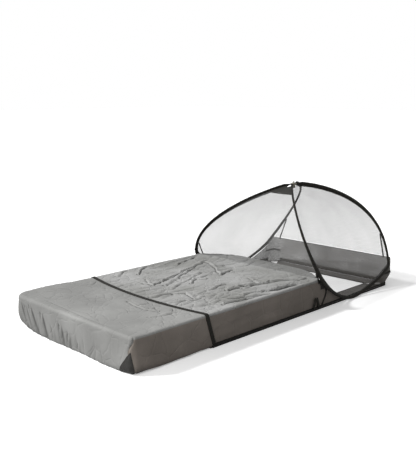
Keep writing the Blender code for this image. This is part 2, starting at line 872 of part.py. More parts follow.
def build_hem_elastic(low_x, high_x, side_y):
    height = cloth + seam_gap + elastic_radius
    low_x -= 2 * elastic_radius
    high_x += 2 * elastic_radius
    side_y += 2 * elastic_radius
    bend = 8 * elastic_radius
    corners = [(high_x - bend, side_y - bend), (low_x + bend, side_y - bend)]
    corners += [(low_x + bend, bend - side_y), (high_x - bend, bend - side_y)]
    path = []
    for turn, (x, y) in enumerate(corners):
        for i in range(arc_steps // 2 + 1):
            angle = math.pi / 2 * (turn + i / (arc_steps // 2))
            path.append(Vector((x + bend * math.cos(angle), y + bend * math.sin(angle), height)))
    round_cord("hem_elastic", path, elastic_radius, binding, closed=True)


def build_straps():
    for word, side in sides.items():
        level = -strap_level - tape_thick if side < 0 else strap_level
        base = hoop_stations(side)[leg_steps][0]
        shift = leg_patch_back
        low_z = base.z - foot_base_rise - leg_patch_drop
        foot_x = base.x - shift / 4
        patch = [
            (foot_x - tab_width / 2, cover_height - top_roll),
            (foot_x - tab_width / 2 - tab_lean, cover_height + tab_rise),
            (foot_x + tab_width / 2 - tab_lean, cover_height + tab_rise),
            (foot_x + tab_width / 2, cover_height - top_roll),
            (base.x + leg_patch_reach, low_z),
            (base.x + shift, low_z),
        ]
        plate(f"leg_patch_{word}", patch, "side", level, tape_thick, binding)
        top = low_z - seam_gap
        bottom = zip_top + seam_gap if side < 0 else hem_width + seam_gap
        right = base.x + leg_patch_reach
        run = [(right, top), (right + leg_strap_kink, (top * 2 + bottom) / 3), (right - leg_strap_lean, bottom)]
        outline = [(x, z) for x, z in run] + [(x - strap_width, z) for x, z in reversed(run)]
        plate(f"leg_strap_{word}", outline, "side", level, tape_thick, binding)
        flat = strap_level + tape_thick / 2
        end_x = half_length + seam_gap + tape_thick / 2
        corner = [
            Vector((half_length - corner_strap_reach, side * flat, corner_strap_height)),
            Vector((end_x, side * flat, corner_strap_height)),
            Vector((end_x, side * (half_width - corner_strap_return), corner_strap_height)),
        ]
        strap(f"corner_strap_{word}", corner, Vector((0, 0, 1)), strap_width, binding)


# Each half of the zip is a tape with its row of coils as one bead along the edge.
def zip_half(name, tape_low, tape_high, bead_low, bead_high, low_x, high_x):
    back = -strap_level
    face = back - zip_tape_thick
    proud = face - zip_coil_proud
    if bead_high == tape_high:
        outline = [(back, tape_low), (back, tape_high), (proud, tape_high), (proud, bead_low)]
        outline += [(face, bead_low), (face, tape_low)]
    else:
        outline = [(back, tape_low), (back, tape_high), (face, tape_high), (face, bead_high)]
        outline += [(proud, bead_high), (proud, tape_low)]
    plate(name, outline, "end", low_x, high_x - low_x, zip_tape)


def build_zip():
    low_x = tape_x + tape_width / 2 + seam_gap
    high_x = half_length - zip_head_margin
    top_edge = zip_middle - zip_gap / 2
    zip_half("zip_tape_lower", 0, top_edge, top_edge - zip_coil_height, top_edge, low_x, high_x)
    bottom_edge = zip_middle + zip_gap / 2
    tape_top = bottom_edge + zip_tape_height
    zip_half(
        "zip_tape_upper",
        bottom_edge,
        tape_top,
        bottom_edge,
        bottom_edge + zip_coil_height,
        low_x,
        high_x,
    )
    face = zip_coil_level + seam_gap
    stop_low = zip_middle - zip_gap / 2 - zip_coil_height
    stop_high = zip_middle + zip_gap / 2 + zip_coil_height
    for word, start in (("foot", low_x), ("head", high_x - zip_stop_length)):
        outline = rectangle(start, stop_low, start + zip_stop_length, stop_high)
        plate(f"zip_stop_{word}", outline, "side", -face - slider_plate, slider_plate, zinc)
    for word, turn in (("left", -1), ("right", 1)):
        build_slider(word, turn)


def cylinder(name, radius, low_y, high_y, place):
    outline = []
    for i in range(eye_sides):
        angle = 2 * math.pi * i / eye_sides
        outline.append((radius * math.cos(angle) + place.x, radius * math.sin(angle) + place.z))
    return plate(name, outline, "side", low_y, high_y - low_y, None, place)


# The slider grips both rows of coils: a plate each side of the tape, joined by a short post.
def build_slider(word, turn):
    middle_x = slider_pair_middle + turn * slider_pair_spacing / 2
    outer = -zip_coil_level - slider_clear
    face = outer - slider_plate
    tape_face = -strap_level - zip_tape_thick - slider_clear
    inner_face = -strap_level + slider_clear
    back = inner_face + slider_plate
    lip_in = zip_gap / 2 + zip_coil_height + slider_clear
    lip_out = lip_in + slider_lip
    post = slider_post_thick / 2
    upper = [
        (face, 0),
        (face, lip_out),
        (tape_face, lip_out),
        (tape_face, lip_in),
        (outer, lip_in),
        (outer, post),
        (inner_face, post),
        (inner_face, lip_out),
        (back, lip_out),
        (back, 0),
    ]
    outline = [(y, zip_middle + z) for y, z in upper[1:-1]]
    outline += [(y, zip_middle - z) for y, z in reversed(upper[1:-1])]
    origin = Vector((middle_x, face, zip_middle))
    start = middle_x - slider_length / 2
    slider = plate(f"slider_{word}", outline, "end", start, slider_length, zinc, origin)
    pull_back = face - slider_clear
    pull_front = pull_back - pull_thick
    head_back = pull_front - slider_clear
    head_front = head_back - pull_pin_head_thick
    gap_low = rectangle(
        middle_x - turn * (slider_length / 2 - slider_post_length),
        zip_middle - lip_in,
        middle_x + turn * slider_length,
        zip_middle + lip_in,
    )
    post_cut = plate(
        f"post_cut_{word}", gap_low, "side", outer, inner_face - outer, None, origin
    )
    combine(slider, as_cutter(post_cut))
    pin_front = (head_front + head_back) / 2
    pin = cylinder(f"pin_{word}", pull_pin_radius, pin_front, face + slider_plate / 2, origin)
    head = cylinder(f"pin_head_{word}", pull_pin_head_radius, head_front, head_back, origin)
    combine(slider, as_cutter(pin), "UNION")
    combine(slider, as_cutter(head), "UNION")
    build_pull(word, turn, Vector((middle_x, pull_front, zip_middle)))


# The two pulls lean in until their tips all but touch.
def build_pull(word, turn, pivot):
    tip_room = pull_tip_radius + slider_clear / 2
    lean = math.asin((slider_pair_spacing / 2 - tip_room) / pull_length)
    outline = []
    taper = math.asin((pull_tip_radius - pull_eye_radius) / pull_length)
    for i in range(arc_steps + 1):
        angle = math.pi + taper + (math.pi - 2 * taper) * i / arc_steps
        outline.append((pull_eye_radius * math.cos(angle), pull_eye_radius * math.sin(angle)))
    for i in range(arc_steps + 1):
        angle = -taper + (math.pi + 2 * taper) * i / arc_steps
        across = pull_tip_radius * math.cos(angle)
        outline.append((across, pull_length + pull_tip_radius * math.sin(angle)))
    placed = [(pivot.x + u, pivot.z + v) for u, v in outline]
    pull = plate(f"pull_{word}", placed, "side", pivot.y, pull_thick, pull_plastic, pivot)
    pull.rotation_euler = (0, -turn * lean, 0)
    eye = pull_pin_radius + slider_clear
    tool = cylinder(f"pull_eye_{word}", eye, pivot.y - pull_thick, pivot.y + 2 * pull_thick, pivot)
    slot = []
    for end, half in ((pull_slot_start, math.pi), (pull_slot_end, 0)):
        for i in range(arc_steps + 1):
            angle = half + math.pi * i / arc_steps
            across = pull_slot_half_width * math.cos(angle)
            slot.append((pivot.x + across, pivot.z + end + pull_slot_half_width * math.sin(angle)))
    window = plate(
        f"pull_slot_{word}", slot, "side", pivot.y - pull_thick, 3 * pull_thick, None, pivot
    )
    for cutter in (tool, window):
        cutter.rotation_euler = pull.rotation_euler
        combine(pull, as_cutter(cutter))


# The object stands with the middle of its whole length at the origin.
def centre_on_origin():
    reach = max(centre.x for centre, run, out in hoop_stations(-1)) + sleeve_half_wide
    bed_net.location.x = -(reach - half_length) / 2


bed_net = fresh_scene()
cover_cloth = finish("grey polyester", (0.30, 0.30, 0.28), 0.75)
side_cloth = finish("shaded grey polyester", (0.13, 0.12, 0.11), 0.80)
side_net_cloth = finish("grey net skirt", (0.16, 0.15, 0.14), 0.85)
dark_net = finish("dark net", (0.05, 0.05, 0.05), 0.85)
net_cloth = finish("fine net", (0.62, 0.62, 0.62), 0.80)
flap_cloth = finish("plain flap cloth", (0.10, 0.10, 0.10), 0.85)
binding = finish("black binding", (0.02, 0.02, 0.02), 0.70)
sleeve_cloth = finish("black sleeve cloth", (0.03, 0.03, 0.025), 0.75)
webbing = finish("beige webbing", (0.42, 0.40, 0.34), 0.80)
zip_tape = finish("black zip tape", (0.015, 0.015, 0.015), 0.60)
pull_plastic = finish("black moulded pull", (0.02, 0.02, 0.02), 0.45)
spring_steel = finish("spring steel wire", (0.45, 0.45, 0.46), 0.35, 1.0)
zinc = finish("dark zinc", (0.10, 0.10, 0.10), 0.40, 0.8)

build_foot_pocket()
build_middle()
build_tapes()
build_flaps()
build_gathers()
build_straps()
build_zip()
build_dome()
build_apex_tie()
for hoop_word, hoop_side in sides.items():
    build_hoop(hoop_word, hoop_side)
centre_on_origin()
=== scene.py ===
# Mosquito net tent: a boxed cloth cover, 2.0 by 0.9 m, with a net dome on two sprung hoops.
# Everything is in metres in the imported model's frame: +X to the head end, +Z up, near side at -Y.
import json
from functools import partial
from math import atan2, cos, exp, hypot, pi, radians, sin, sqrt

import bmesh
import bpy
from mathutils import Vector, noise
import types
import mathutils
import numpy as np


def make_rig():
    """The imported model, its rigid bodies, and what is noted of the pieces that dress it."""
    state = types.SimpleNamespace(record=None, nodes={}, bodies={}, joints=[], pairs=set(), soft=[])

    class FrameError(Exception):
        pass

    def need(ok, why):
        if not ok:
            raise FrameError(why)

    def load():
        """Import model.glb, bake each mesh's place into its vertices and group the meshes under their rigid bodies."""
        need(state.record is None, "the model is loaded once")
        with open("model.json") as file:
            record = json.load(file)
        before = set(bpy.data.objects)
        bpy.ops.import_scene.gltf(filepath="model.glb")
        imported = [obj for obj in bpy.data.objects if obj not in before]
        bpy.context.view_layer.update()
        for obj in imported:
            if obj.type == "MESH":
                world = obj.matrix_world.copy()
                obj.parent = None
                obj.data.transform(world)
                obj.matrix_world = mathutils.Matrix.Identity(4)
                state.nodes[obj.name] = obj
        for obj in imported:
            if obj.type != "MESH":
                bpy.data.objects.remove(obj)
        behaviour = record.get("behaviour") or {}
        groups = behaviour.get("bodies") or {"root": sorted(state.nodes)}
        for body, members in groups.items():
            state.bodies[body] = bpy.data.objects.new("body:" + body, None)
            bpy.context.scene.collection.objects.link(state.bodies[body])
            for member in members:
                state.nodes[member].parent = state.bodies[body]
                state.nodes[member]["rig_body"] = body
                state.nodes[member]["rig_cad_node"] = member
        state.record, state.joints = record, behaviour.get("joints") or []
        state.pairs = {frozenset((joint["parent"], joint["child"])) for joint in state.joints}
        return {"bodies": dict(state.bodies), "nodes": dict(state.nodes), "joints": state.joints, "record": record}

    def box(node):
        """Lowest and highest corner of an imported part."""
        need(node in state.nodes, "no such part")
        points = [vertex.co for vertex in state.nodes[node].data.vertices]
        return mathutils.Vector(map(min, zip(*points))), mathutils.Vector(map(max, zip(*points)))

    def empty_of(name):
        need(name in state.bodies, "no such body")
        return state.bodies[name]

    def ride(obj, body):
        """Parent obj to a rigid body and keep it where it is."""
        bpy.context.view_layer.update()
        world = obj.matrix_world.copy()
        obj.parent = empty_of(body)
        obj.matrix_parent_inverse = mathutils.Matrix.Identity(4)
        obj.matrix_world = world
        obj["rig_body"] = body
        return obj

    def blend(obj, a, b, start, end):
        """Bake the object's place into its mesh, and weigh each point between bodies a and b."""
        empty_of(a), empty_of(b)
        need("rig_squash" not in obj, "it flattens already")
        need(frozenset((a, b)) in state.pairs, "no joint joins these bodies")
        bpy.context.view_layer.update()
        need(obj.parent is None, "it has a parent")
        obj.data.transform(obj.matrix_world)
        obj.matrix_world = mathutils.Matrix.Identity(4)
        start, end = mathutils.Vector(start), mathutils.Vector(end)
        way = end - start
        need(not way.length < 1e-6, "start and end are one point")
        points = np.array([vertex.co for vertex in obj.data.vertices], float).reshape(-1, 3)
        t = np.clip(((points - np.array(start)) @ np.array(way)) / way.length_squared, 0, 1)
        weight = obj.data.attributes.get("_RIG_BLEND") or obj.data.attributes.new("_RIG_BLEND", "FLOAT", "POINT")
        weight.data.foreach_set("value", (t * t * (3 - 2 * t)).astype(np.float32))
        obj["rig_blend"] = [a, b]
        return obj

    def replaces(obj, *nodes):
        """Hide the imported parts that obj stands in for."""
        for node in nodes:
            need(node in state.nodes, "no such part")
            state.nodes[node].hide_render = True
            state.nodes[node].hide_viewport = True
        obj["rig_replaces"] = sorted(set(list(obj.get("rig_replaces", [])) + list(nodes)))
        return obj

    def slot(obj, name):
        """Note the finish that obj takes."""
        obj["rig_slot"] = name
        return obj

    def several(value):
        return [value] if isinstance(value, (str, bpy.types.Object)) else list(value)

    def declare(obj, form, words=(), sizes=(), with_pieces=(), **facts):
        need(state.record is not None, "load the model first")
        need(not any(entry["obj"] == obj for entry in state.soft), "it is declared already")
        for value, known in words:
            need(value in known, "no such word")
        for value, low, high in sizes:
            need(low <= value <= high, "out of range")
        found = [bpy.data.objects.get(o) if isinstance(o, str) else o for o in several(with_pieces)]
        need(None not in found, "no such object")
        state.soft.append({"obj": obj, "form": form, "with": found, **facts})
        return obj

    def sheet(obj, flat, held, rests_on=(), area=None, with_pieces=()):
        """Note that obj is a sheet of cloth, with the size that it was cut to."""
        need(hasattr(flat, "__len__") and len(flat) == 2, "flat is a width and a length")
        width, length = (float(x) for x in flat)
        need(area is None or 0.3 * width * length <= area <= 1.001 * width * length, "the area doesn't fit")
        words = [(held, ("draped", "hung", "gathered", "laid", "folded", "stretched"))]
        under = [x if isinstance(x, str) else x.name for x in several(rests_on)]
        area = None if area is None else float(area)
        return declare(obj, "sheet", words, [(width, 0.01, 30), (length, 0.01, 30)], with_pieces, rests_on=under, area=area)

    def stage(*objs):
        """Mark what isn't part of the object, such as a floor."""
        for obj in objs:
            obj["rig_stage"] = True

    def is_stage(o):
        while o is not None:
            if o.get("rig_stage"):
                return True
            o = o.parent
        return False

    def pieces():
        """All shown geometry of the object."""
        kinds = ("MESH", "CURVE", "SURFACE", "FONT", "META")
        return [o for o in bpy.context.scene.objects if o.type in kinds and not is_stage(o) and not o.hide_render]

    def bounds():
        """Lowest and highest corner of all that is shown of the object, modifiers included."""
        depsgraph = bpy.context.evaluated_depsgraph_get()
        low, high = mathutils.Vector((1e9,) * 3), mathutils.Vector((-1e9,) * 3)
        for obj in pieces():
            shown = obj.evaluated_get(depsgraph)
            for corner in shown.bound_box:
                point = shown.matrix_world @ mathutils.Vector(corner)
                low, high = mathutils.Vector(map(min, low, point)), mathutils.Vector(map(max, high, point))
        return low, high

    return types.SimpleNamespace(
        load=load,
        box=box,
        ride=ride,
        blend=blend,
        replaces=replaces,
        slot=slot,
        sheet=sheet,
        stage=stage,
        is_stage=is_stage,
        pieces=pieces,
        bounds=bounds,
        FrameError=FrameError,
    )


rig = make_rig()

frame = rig.load()
cadLow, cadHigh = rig.bounds()
print("frame loaded")

sides = {"near": -1, "far": 1}
xAxis, yAxis, zAxis = Vector((1, 0, 0)), Vector((0, 1, 0)), Vector((0, 0, 1))

# the cover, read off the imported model
headX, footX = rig.box("head_end_panel")[1].x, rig.box("foot_end_panel")[0].x
halfWidth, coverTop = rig.box("foot_end_panel")[1].yz
legFromHead = 0.7337
tapeX, netX = footX + 0.450, headX - legFromHead

# how its cloth is cut and turned over the edge
clothWall, edgeRoll = 0.0007, 0.014
flatEdge, rollLength = halfWidth - edgeRoll, edgeRoll * pi / 2
onCloth = 0.0012  # how high a net or tape lies on the top cloth
cover = {
    "tuck": 0.018,
    "nearTuck": 0.046,
    "farTuck": 0.088,
    "nearCorner": 0.024,
    "farCorner": 0.060,
    "tapeBow": 0.050,
    "tapeSkew": 0.022,
    "tapeLean": 0.042,
}


# materials

waveTurn = 0.314159  # a wave texture's scale is this over the spacing of its bands


def toLinear(hexColour):
    parts = [int(hexColour[i : i + 2], 16) / 255 for i in (1, 3, 5)]
    parts = [p / 12.92 if p <= 0.04045 else ((p + 0.055) / 1.055) ** 2.4 for p in parts]
    return (*parts, 1.0)


# entries are the node's own settings, its inputs' values, or the nodes and sockets that feed its inputs
def addNode(owner, kind, entries=None):
    node = owner.node_tree.nodes.new("ShaderNode" + kind)
    for name, value in (entries or {}).items():
        source = getattr(value, "outputs", [value])[0]
        if isinstance(name, str) and hasattr(node, name):
            setattr(node, name, value)
        elif isinstance(source, bpy.types.NodeSocket):
            owner.node_tree.links.new(source, node.inputs[name])
        else:
            node.inputs[name].default_value = value
    return node


def mixColours(owner, share, first, second):
    first, second = (toLinear(colour) if isinstance(colour, str) else colour for colour in (first, second))
    return addNode(owner, "Mix", {"data_type": "RGBA", "Factor": share, 6: first, 7: second}).outputs[2]


def shaderOf(material):
    return material.node_tree.nodes["Principled BSDF"]


def joinTo(material, source, socket):
    source = getattr(source, "outputs", [source])[0]
    material.node_tree.links.new(source, shaderOf(material).inputs[socket])


# bumps laid one over the other, the finest first: strength, depth and height
def joinBumps(material, *layers):
    bump = None
    for strength, depth, height in layers:
        under = {"Normal": bump} if bump else {}
        bump = addNode(material, "Bump", {"Strength": strength, "Distance": depth, "Height": height, **under})
    joinTo(material, bump, "Normal")


def newMaterial(name, colour, roughness, **sockets):
    material = bpy.data.materials.new(name)
    material.use_nodes = True
    shader = shaderOf(material)
    shader.inputs["Base Color"].default_value = toLinear(colour)
    shader.inputs["Roughness"].default_value = roughness
    for socket, value in sockets.items():
        shader.inputs[socket.replace("_", " ")].default_value = value
    material.diffuse_color = toLinear(colour)
    return material


# Woven polyester taffeta: matt, with a faint sheen, sharp creases that stay in it, and a fine grain.
# The folds' inner bends, stored on the mesh as "bend", are darker, because little light gets in.
# The real thread spacing is 0.3 mm, drawn at 2.4 mm so that the grain shows.
def wovenCloth(name, light, dark, creaseDepth, creaseSize, sheen=0.18):
    threadSpacing, blotchSize, foldColour, foldShade = 0.0024, 0.22, "#1f1f1d", 0.75
    material = newMaterial(name, light, 0.75, Sheen_Weight=sheen, Sheen_Roughness=0.4, Specular_IOR_Level=0.3)
    node = partial(addNode, material)
    place = node("TexCoord").outputs["Object"]
    blotches = node("TexNoise", {"Scale": 1 / blotchSize, "Detail": 4.0, "Vector": place})
    faded = node("MapRange", {"From Min": 0.34, "From Max": 0.66, "Value": blotches})
    bends = node("Attribute", {"attribute_name": "bend"}).outputs["Fac"]
    inFold = node("MapRange", {"From Min": 0.02, "From Max": 0.20, "To Max": foldShade, "Value": bends})
    shade = mixColours(material, faded, light, dark)
    joinTo(material, mixColours(material, inFold, shade, foldColour), "Base Color")
    bent = node("TexNoise", {"Scale": 0.6 / creaseSize, "Detail": 3.0, "Vector": place}).outputs["Color"]
    shifted = node("VectorMath", {"operation": "MULTIPLY_ADD", 0: bent, 1: (creaseSize,) * 3, 2: place})
    cells = node("TexVoronoi", {"Scale": 1 / creaseSize, "feature": "DISTANCE_TO_EDGE", "Vector": shifted})
    sharp = node("MapRange", {"From Max": 0.07, "interpolation_type": "SMOOTHSTEP", "Value": cells})
    threads = node("TexVoronoi", {"Scale": 1 / threadSpacing, "distance": "CHEBYCHEV", "Vector": place})
    joinBumps(material, (0.25, 0.0002, threads), (0.7, creaseDepth, sharp))
    return material


# Fine polyester netting, 1.2 mm mesh: drawn as a soft 5 mm grid, because the real one is too fine to show.
# What is behind shows through it, a little greyer, and more so near the top, where it is doubled.
def nettingCloth(name, colour, cloudiness, weave, topShade=0.0):
    meshSpacing = 0.005
    material = newMaterial(name, colour, 0.85)
    node = partial(addNode, material)
    place = node("UVMap", {"uv_map": "weave"})
    bands = [node("TexWave", {"bands_direction": direction, "Scale": waveTurn / meshSpacing / 2, "Vector": place})
             for direction in ("X", "Y")]
    grid = node("Math", {"operation": "MAXIMUM", 0: bands[0].outputs["Fac"], 1: bands[1].outputs["Fac"]})
    cloudy = node("TexNoise", {"Scale": 6.0, "Detail": 2.0, "Vector": place})
    both = node("Math", {"operation": "MULTIPLY_ADD", 0: grid, 1: 0.25, 2: cloudy})
    alpha = node("MapRange", {"From Min": 0.30, "From Max": 0.95, "To Min": cloudiness - weave,
                              "To Max": cloudiness + weave, "Value": both})
    solid = node("TexCoord").outputs["Object"]
    height = node("SeparateXYZ", {"Vector": solid}).outputs["Z"]
    doubled = node("MapRange", {"From Min": 0.30, "From Max": 0.56, "To Max": topShade, "Value": height})
    joinTo(material, node("Math", {"operation": "ADD", 0: alpha, 1: doubled}), "Alpha")
    return material


# Grosgrain polyester tape: ribs across the tape, every 1.5 mm, and a row of stitches along each edge.
def ribbedTape(name, colour, stitchColour, width, ribSpacing=0.0015):
    stitchSpacing = 0.004
    material = newMaterial(name, colour, 0.80, Specular_IOR_Level=0.2)
    node = partial(addNode, material)
    place = node("UVMap", {"uv_map": "weave"})
    ribs = node("TexWave", {"bands_direction": "X", "Scale": waveTurn / ribSpacing, "Vector": place})
    axes = node("SeparateXYZ", {"Vector": place}).outputs
    dashes = node("Math", {"operation": "PINGPONG", 0: axes["X"], 1: stitchSpacing / 2})
    onDash = node("Math", {"operation": "GREATER_THAN", 0: dashes, 1: stitchSpacing * 0.17})
    fromEdge = node("Math", {"operation": "PINGPONG", 0: axes["Y"], 1: width / 2})
    onRow = node("Math", {"operation": "COMPARE", 0: fromEdge, 1: width * 0.14, 2: 0.0006})
    stitch = node("Math", {"operation": "MULTIPLY", 0: onDash, 1: onRow})
    joinTo(material, mixColours(material, stitch, colour, stitchColour), "Base Color")
    joinBumps(material, (0.4, 0.0003, ribs.outputs["Fac"]), (0.6, 0.0006, stitch))
    return material


# Woven sleeve: plain black-brown polyester that puckers where the wire pulls it round. Painted shade darkens the
# hollows of the puckers.
def sleeveCloth():
    puckerSpacing = 0.020
    material = newMaterial("sleeve polyester", "#24231f", 0.80, Specular_IOR_Level=0.2)
    node = partial(addNode, material)
    place = node("UVMap", {"uv_map": "weave"})
    waves = {"bands_direction": "X", "Distortion": 3.0, "Detail": 2.0, "Detail Scale": 2.0}
    pucker = node("TexWave", {**waves, "Scale": waveTurn / puckerSpacing, "Vector": place}).outputs["Fac"]
    # painted shade: the colour is darker in the hollows of the puckers and lighter on their crests
    joinTo(material, mixColours(material, pucker, "#161512", "#25231e"), "Base Color")
    grain = node("TexNoise", {"Scale": 600.0, "Detail": 2.0, "Vector": place})
    joinBumps(material, (0.3, 0.0002, grain), (0.5, 0.0010, pucker))
    return material


# Metal and plastic, with the light scratches of use.
def wornSolid(name, colour, roughness, **sockets):
    scratchSize = 0.004
    material = newMaterial(name, colour, roughness, **sockets)
    node = partial(addNode, material)
    place = node("TexCoord").outputs["Object"]
    marks = node("TexNoise", {"Scale": 1 / scratchSize, "Detail": 5.0, "Vector": place})
    rough = node("MapRange", {"To Min": roughness - 0.08, "To Max": roughness + 0.12, "Value": marks})
    joinTo(material, rough, "Roughness")
    joinBumps(material, (0.15, 0.0001, marks))
    return material


coverCloth = wovenCloth("grey polyester taffeta", "#8f8f8d", "#7d7d7b", 0.0012, 0.09)
crumpledCloth = wovenCloth("crumpled polyester taffeta", "#a3a3a2", "#858582", 0.0022, 0.06)
# a darker, browner copy of the grey taffeta: painted shade for the foot pocket's sides and the side skirts
paintedShadeCloth = wovenCloth("grey polyester taffeta with painted side shade", "#857d76", "#716a63", 0.0012, 0.11)
flapCloth = wovenCloth("flap polyester", "#5d5a56", "#504d4a", 0.0010, 0.05)
gussetNet = wovenCloth("gusset net", "#2b2a28", "#22211f", 0.0010, 0.04, 0.02)
domeNet = nettingCloth("dome netting", "#757574", 0.27, 0.045, 0.10)
skirtNet = nettingCloth("skirt netting", "#46423d", 0.84, 0.08)
wideTape = ribbedTape("wide grosgrain tape", "#171612", "#302f28", 0.021)
narrowTape = ribbedTape("narrow grosgrain tape", "#171612", "#302f28", 0.012)
zipWeave = ribbedTape("woven zip tape", "#161512", "#292823", 0.009, 0.0010)
patchCloth = wovenCloth("patch polyester", "#252420", "#1c1b18", 0.0006, 0.04, 0.02)
sleevePolyester = sleeveCloth()
beigeWebbing = ribbedTape("beige webbing", "#8f8b7d", "#a5a193", 0.017, 0.0012)
springSteel = wornSolid("drawn spring steel", "#b9b9ba", 0.32, Metallic=1.0)
darkZinc = wornSolid("painted zinc die casting", "#131312", 0.50, Specular_IOR_Level=0.35)
blackAcetal = wornSolid("moulded black acetal", "#080808", 0.70, Specular_IOR_Level=0.15)
blackCoil = wornSolid("black nylon coil", "#1c1c1b", 0.40)


# shared makers

# how far each point lies inside a fold, as a share of the distance to its neighbours
def storeBends(bm):
    bend = bm.verts.layers.float.new("bend")
    bm.normal_update()
    for vert in bm.verts:
        if len(vert.link_edges) < 4:
            continue
        gaps = [edge.other_vert(vert).co - vert.co for edge in vert.link_edges]
        total = sum((gap for gap in gaps), Vector())
        vert[bend] = total.dot(vert.normal) / sum(gap.length for gap in gaps)


def addObject(name, data):
    thing = bpy.data.objects.new(name, data)
    bpy.context.scene.collection.objects.link(thing)
    return thing


def meshFrom(name, bm):
    data = bpy.data.meshes.new(name)
    bm.to_mesh(data)
    bm.free()
    return data


def makePiece(name, bm, material, body, stands, slot, wall=0.0, sheet=None):
    if sheet:
        storeBends(bm)
        cut, held, restsOn = sheet
        area = min(sum(face.calc_area() for face in bm.faces), cut[0] * cut[1])
    piece = addObject(name, meshFrom(name, bm))
    piece.data.shade_smooth()
    piece.data.materials.append(material)
    if wall:
        cloth = piece.modifiers.new("wall", "SOLIDIFY")
        cloth.thickness = wall
        cloth.offset = 0
    if body:
        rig.ride(piece, body)
    if stands:
        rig.replaces(piece, *stands)
    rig.slot(piece, slot)
    if sheet:
        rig.sheet(piece, flat=cut, held=held, rests_on=restsOn, area=area)
    return piece


# a flat cut of cloth, then placed: place(u, v) gives the point for the shares u and v of its length and width
def cutCloth(cellsU, cellsV, length, width, place, sewn=False):
    bm = bmesh.new()
    bmesh.ops.create_grid(bm, x_segments=cellsU, y_segments=cellsV, size=0.5)
    weave = bm.loops.layers.uv.new("weave")
    for face in bm.faces:
        for loop in face.loops:
            loop[weave].uv = ((loop.vert.co.x + 0.5) * length, (loop.vert.co.y + 0.5) * width)
    for vert in bm.verts:
        vert.co = place(vert.co.x + 0.5, vert.co.y + 0.5)
    if sewn:
        bmesh.ops.remove_doubles(bm, verts=bm.verts, dist=0.00002)
        bmesh.ops.recalc_face_normals(bm, faces=bm.faces)
    return bm


def pathLength(path):
    return sum((b - a).length for a, b in zip(path, path[1:]))


# a flat strap of one width along a path
def makeStrap(name, path, across, width, thick, stands, material=narrowTape, body="cover", slot="binding"):
    cells = len(path) - 1

    def place(u, v):
        i = round(u * cells)
        run = (path[min(i + 1, cells)] - path[max(i - 1, 0)]).normalized()
        side = (across - run * across.dot(run)).normalized()
        return path[i] + side * width * (v - 0.5)

    bm = cutCloth(cells, 4, pathLength(path), width, place)
    return makePiece(name, bm, material, body, stands, slot, thick)


def between(a, b, steps):
    return [Vector(a).lerp(Vector(b), i / steps) for i in range(steps + 1)]


def smoothPath(points, steps):
    path, count = [], len(points) - 1
    points = [Vector(point) for point in points]
    for i in range(count):
        before, a = points[max(i - 1, 0)], points[i]
        b, after = points[i + 1], points[min(i + 2, count)]
        for k in range(steps):
            t = k / steps
            path.append(0.5 * (2 * a + (b - before) * t + (2 * before - 5 * a + 4 * b - after) * t * t
                               + (3 * a - before - 3 * b + after) * t**3))
    path.append(points[-1])
    return path


def smoothStep(value):
    t = max(0.0, min(1.0, value))
    return t * t * (3 - 2 * t)


def bell(gap, width):
    return exp(-((gap / width) ** 2))


def lumps(x, y, size, seed):
    return noise.noise(Vector((x / size, y / size, seed)))


# sharp folds along listed lines: a ridge that falls steeply to the foot and the near side
def lineFolds(x, y, lines):
    reach, fold = 0.05, 0.0
    for height, *points in lines:
        nearest = reach**2
        for (ax, ay), (bx, by) in zip(points, points[1:]):
            if not (min(ax, bx) < x + reach and x - reach < max(ax, bx)
                    and min(ay, by) < y + reach and y - reach < max(ay, by)):
                continue
            runX, runY = bx - ax, by - ay
            share = ((x - ax) * runX + (y - ay) * runY) / (runX * runX + runY * runY)
            share = max(0.0, min(1.0, share))
            offX, offY = x - ax - runX * share, y - ay - runY * share
            gap = offX * offX + offY * offY
            if gap < nearest:
                nearest, steep = gap, offX + offY < 0
        if nearest < reach**2:
            gap = sqrt(nearest)
            fold += height * (bell(gap, 0.0055) - 0.6 * bell(gap - 0.011, 0.006) if steep else bell(gap, 0.013))
    return fold


# crumpled facets that meet in sharp valleys, from the distances to the two nearest of a scatter of points
def crumple(x, y, size, seed):
    bend = 0.35 * lumps(x, y, size * 1.4, seed + 20)
    near, second = noise.voronoi(Vector((x / size + bend, y / size - bend, seed)))[0][:2]
    valley = bell(second - near, 0.11)
    shown = smoothStep(0.5 + 1.6 * lumps(x, y, size * 2.3, seed + 40))
    return 0.3 * (0.5 - near) - 0.6 * valley * shown


# how cloth turns over the cover's edge: the metres past the start of the roll give reach, drop and tilt
def overEdge(past, tuck, whole=0.0):
    if past <= 0:
        return past, 0.0, 0.0
    if past < rollLength:
        turn = past / edgeRoll
        return edgeRoll * sin(turn), edgeRoll * (1 - cos(turn)), turn
    wall, below = coverTop - edgeRoll - tuck, past - rollLength
    if below < wall or not tuck:
        return edgeRoll, edgeRoll + below, pi / 2
    tuckRun = whole - rollLength - wall if whole else max(tuck * pi / 2, 0.001)
    turn = min(1.0, (below - wall) / tuckRun) * pi / 2
    return edgeRoll - tuck * (1 - cos(turn)), coverTop - tuck + tuck * sin(turn), pi / 2 + turn


# what a wall still has to run to a round corner, how far it has run past it, and how far it has turned
def roundCorner(past, radius):
    return min(0.0, past), max(0.0, past - radius * pi / 2), max(0.0, min(pi / 2, past / radius))


def tapeLine(y):
    share = max(-1.0, min(1.0, y / halfWidth))
    return tapeX + cover["tapeSkew"] * share - cover["tapeBow"] * (1 - share * share)


# the line goes on down both sides, and leans to the head on the near one
def seamLine(y, drop):
    down = (drop - 0.010) / (coverTop - 0.030)
    return tapeLine(y) + (cover["tapeLean"] * max(0.0, min(1.0, down)) if y < 0 else 0.0)


# the foot pocket

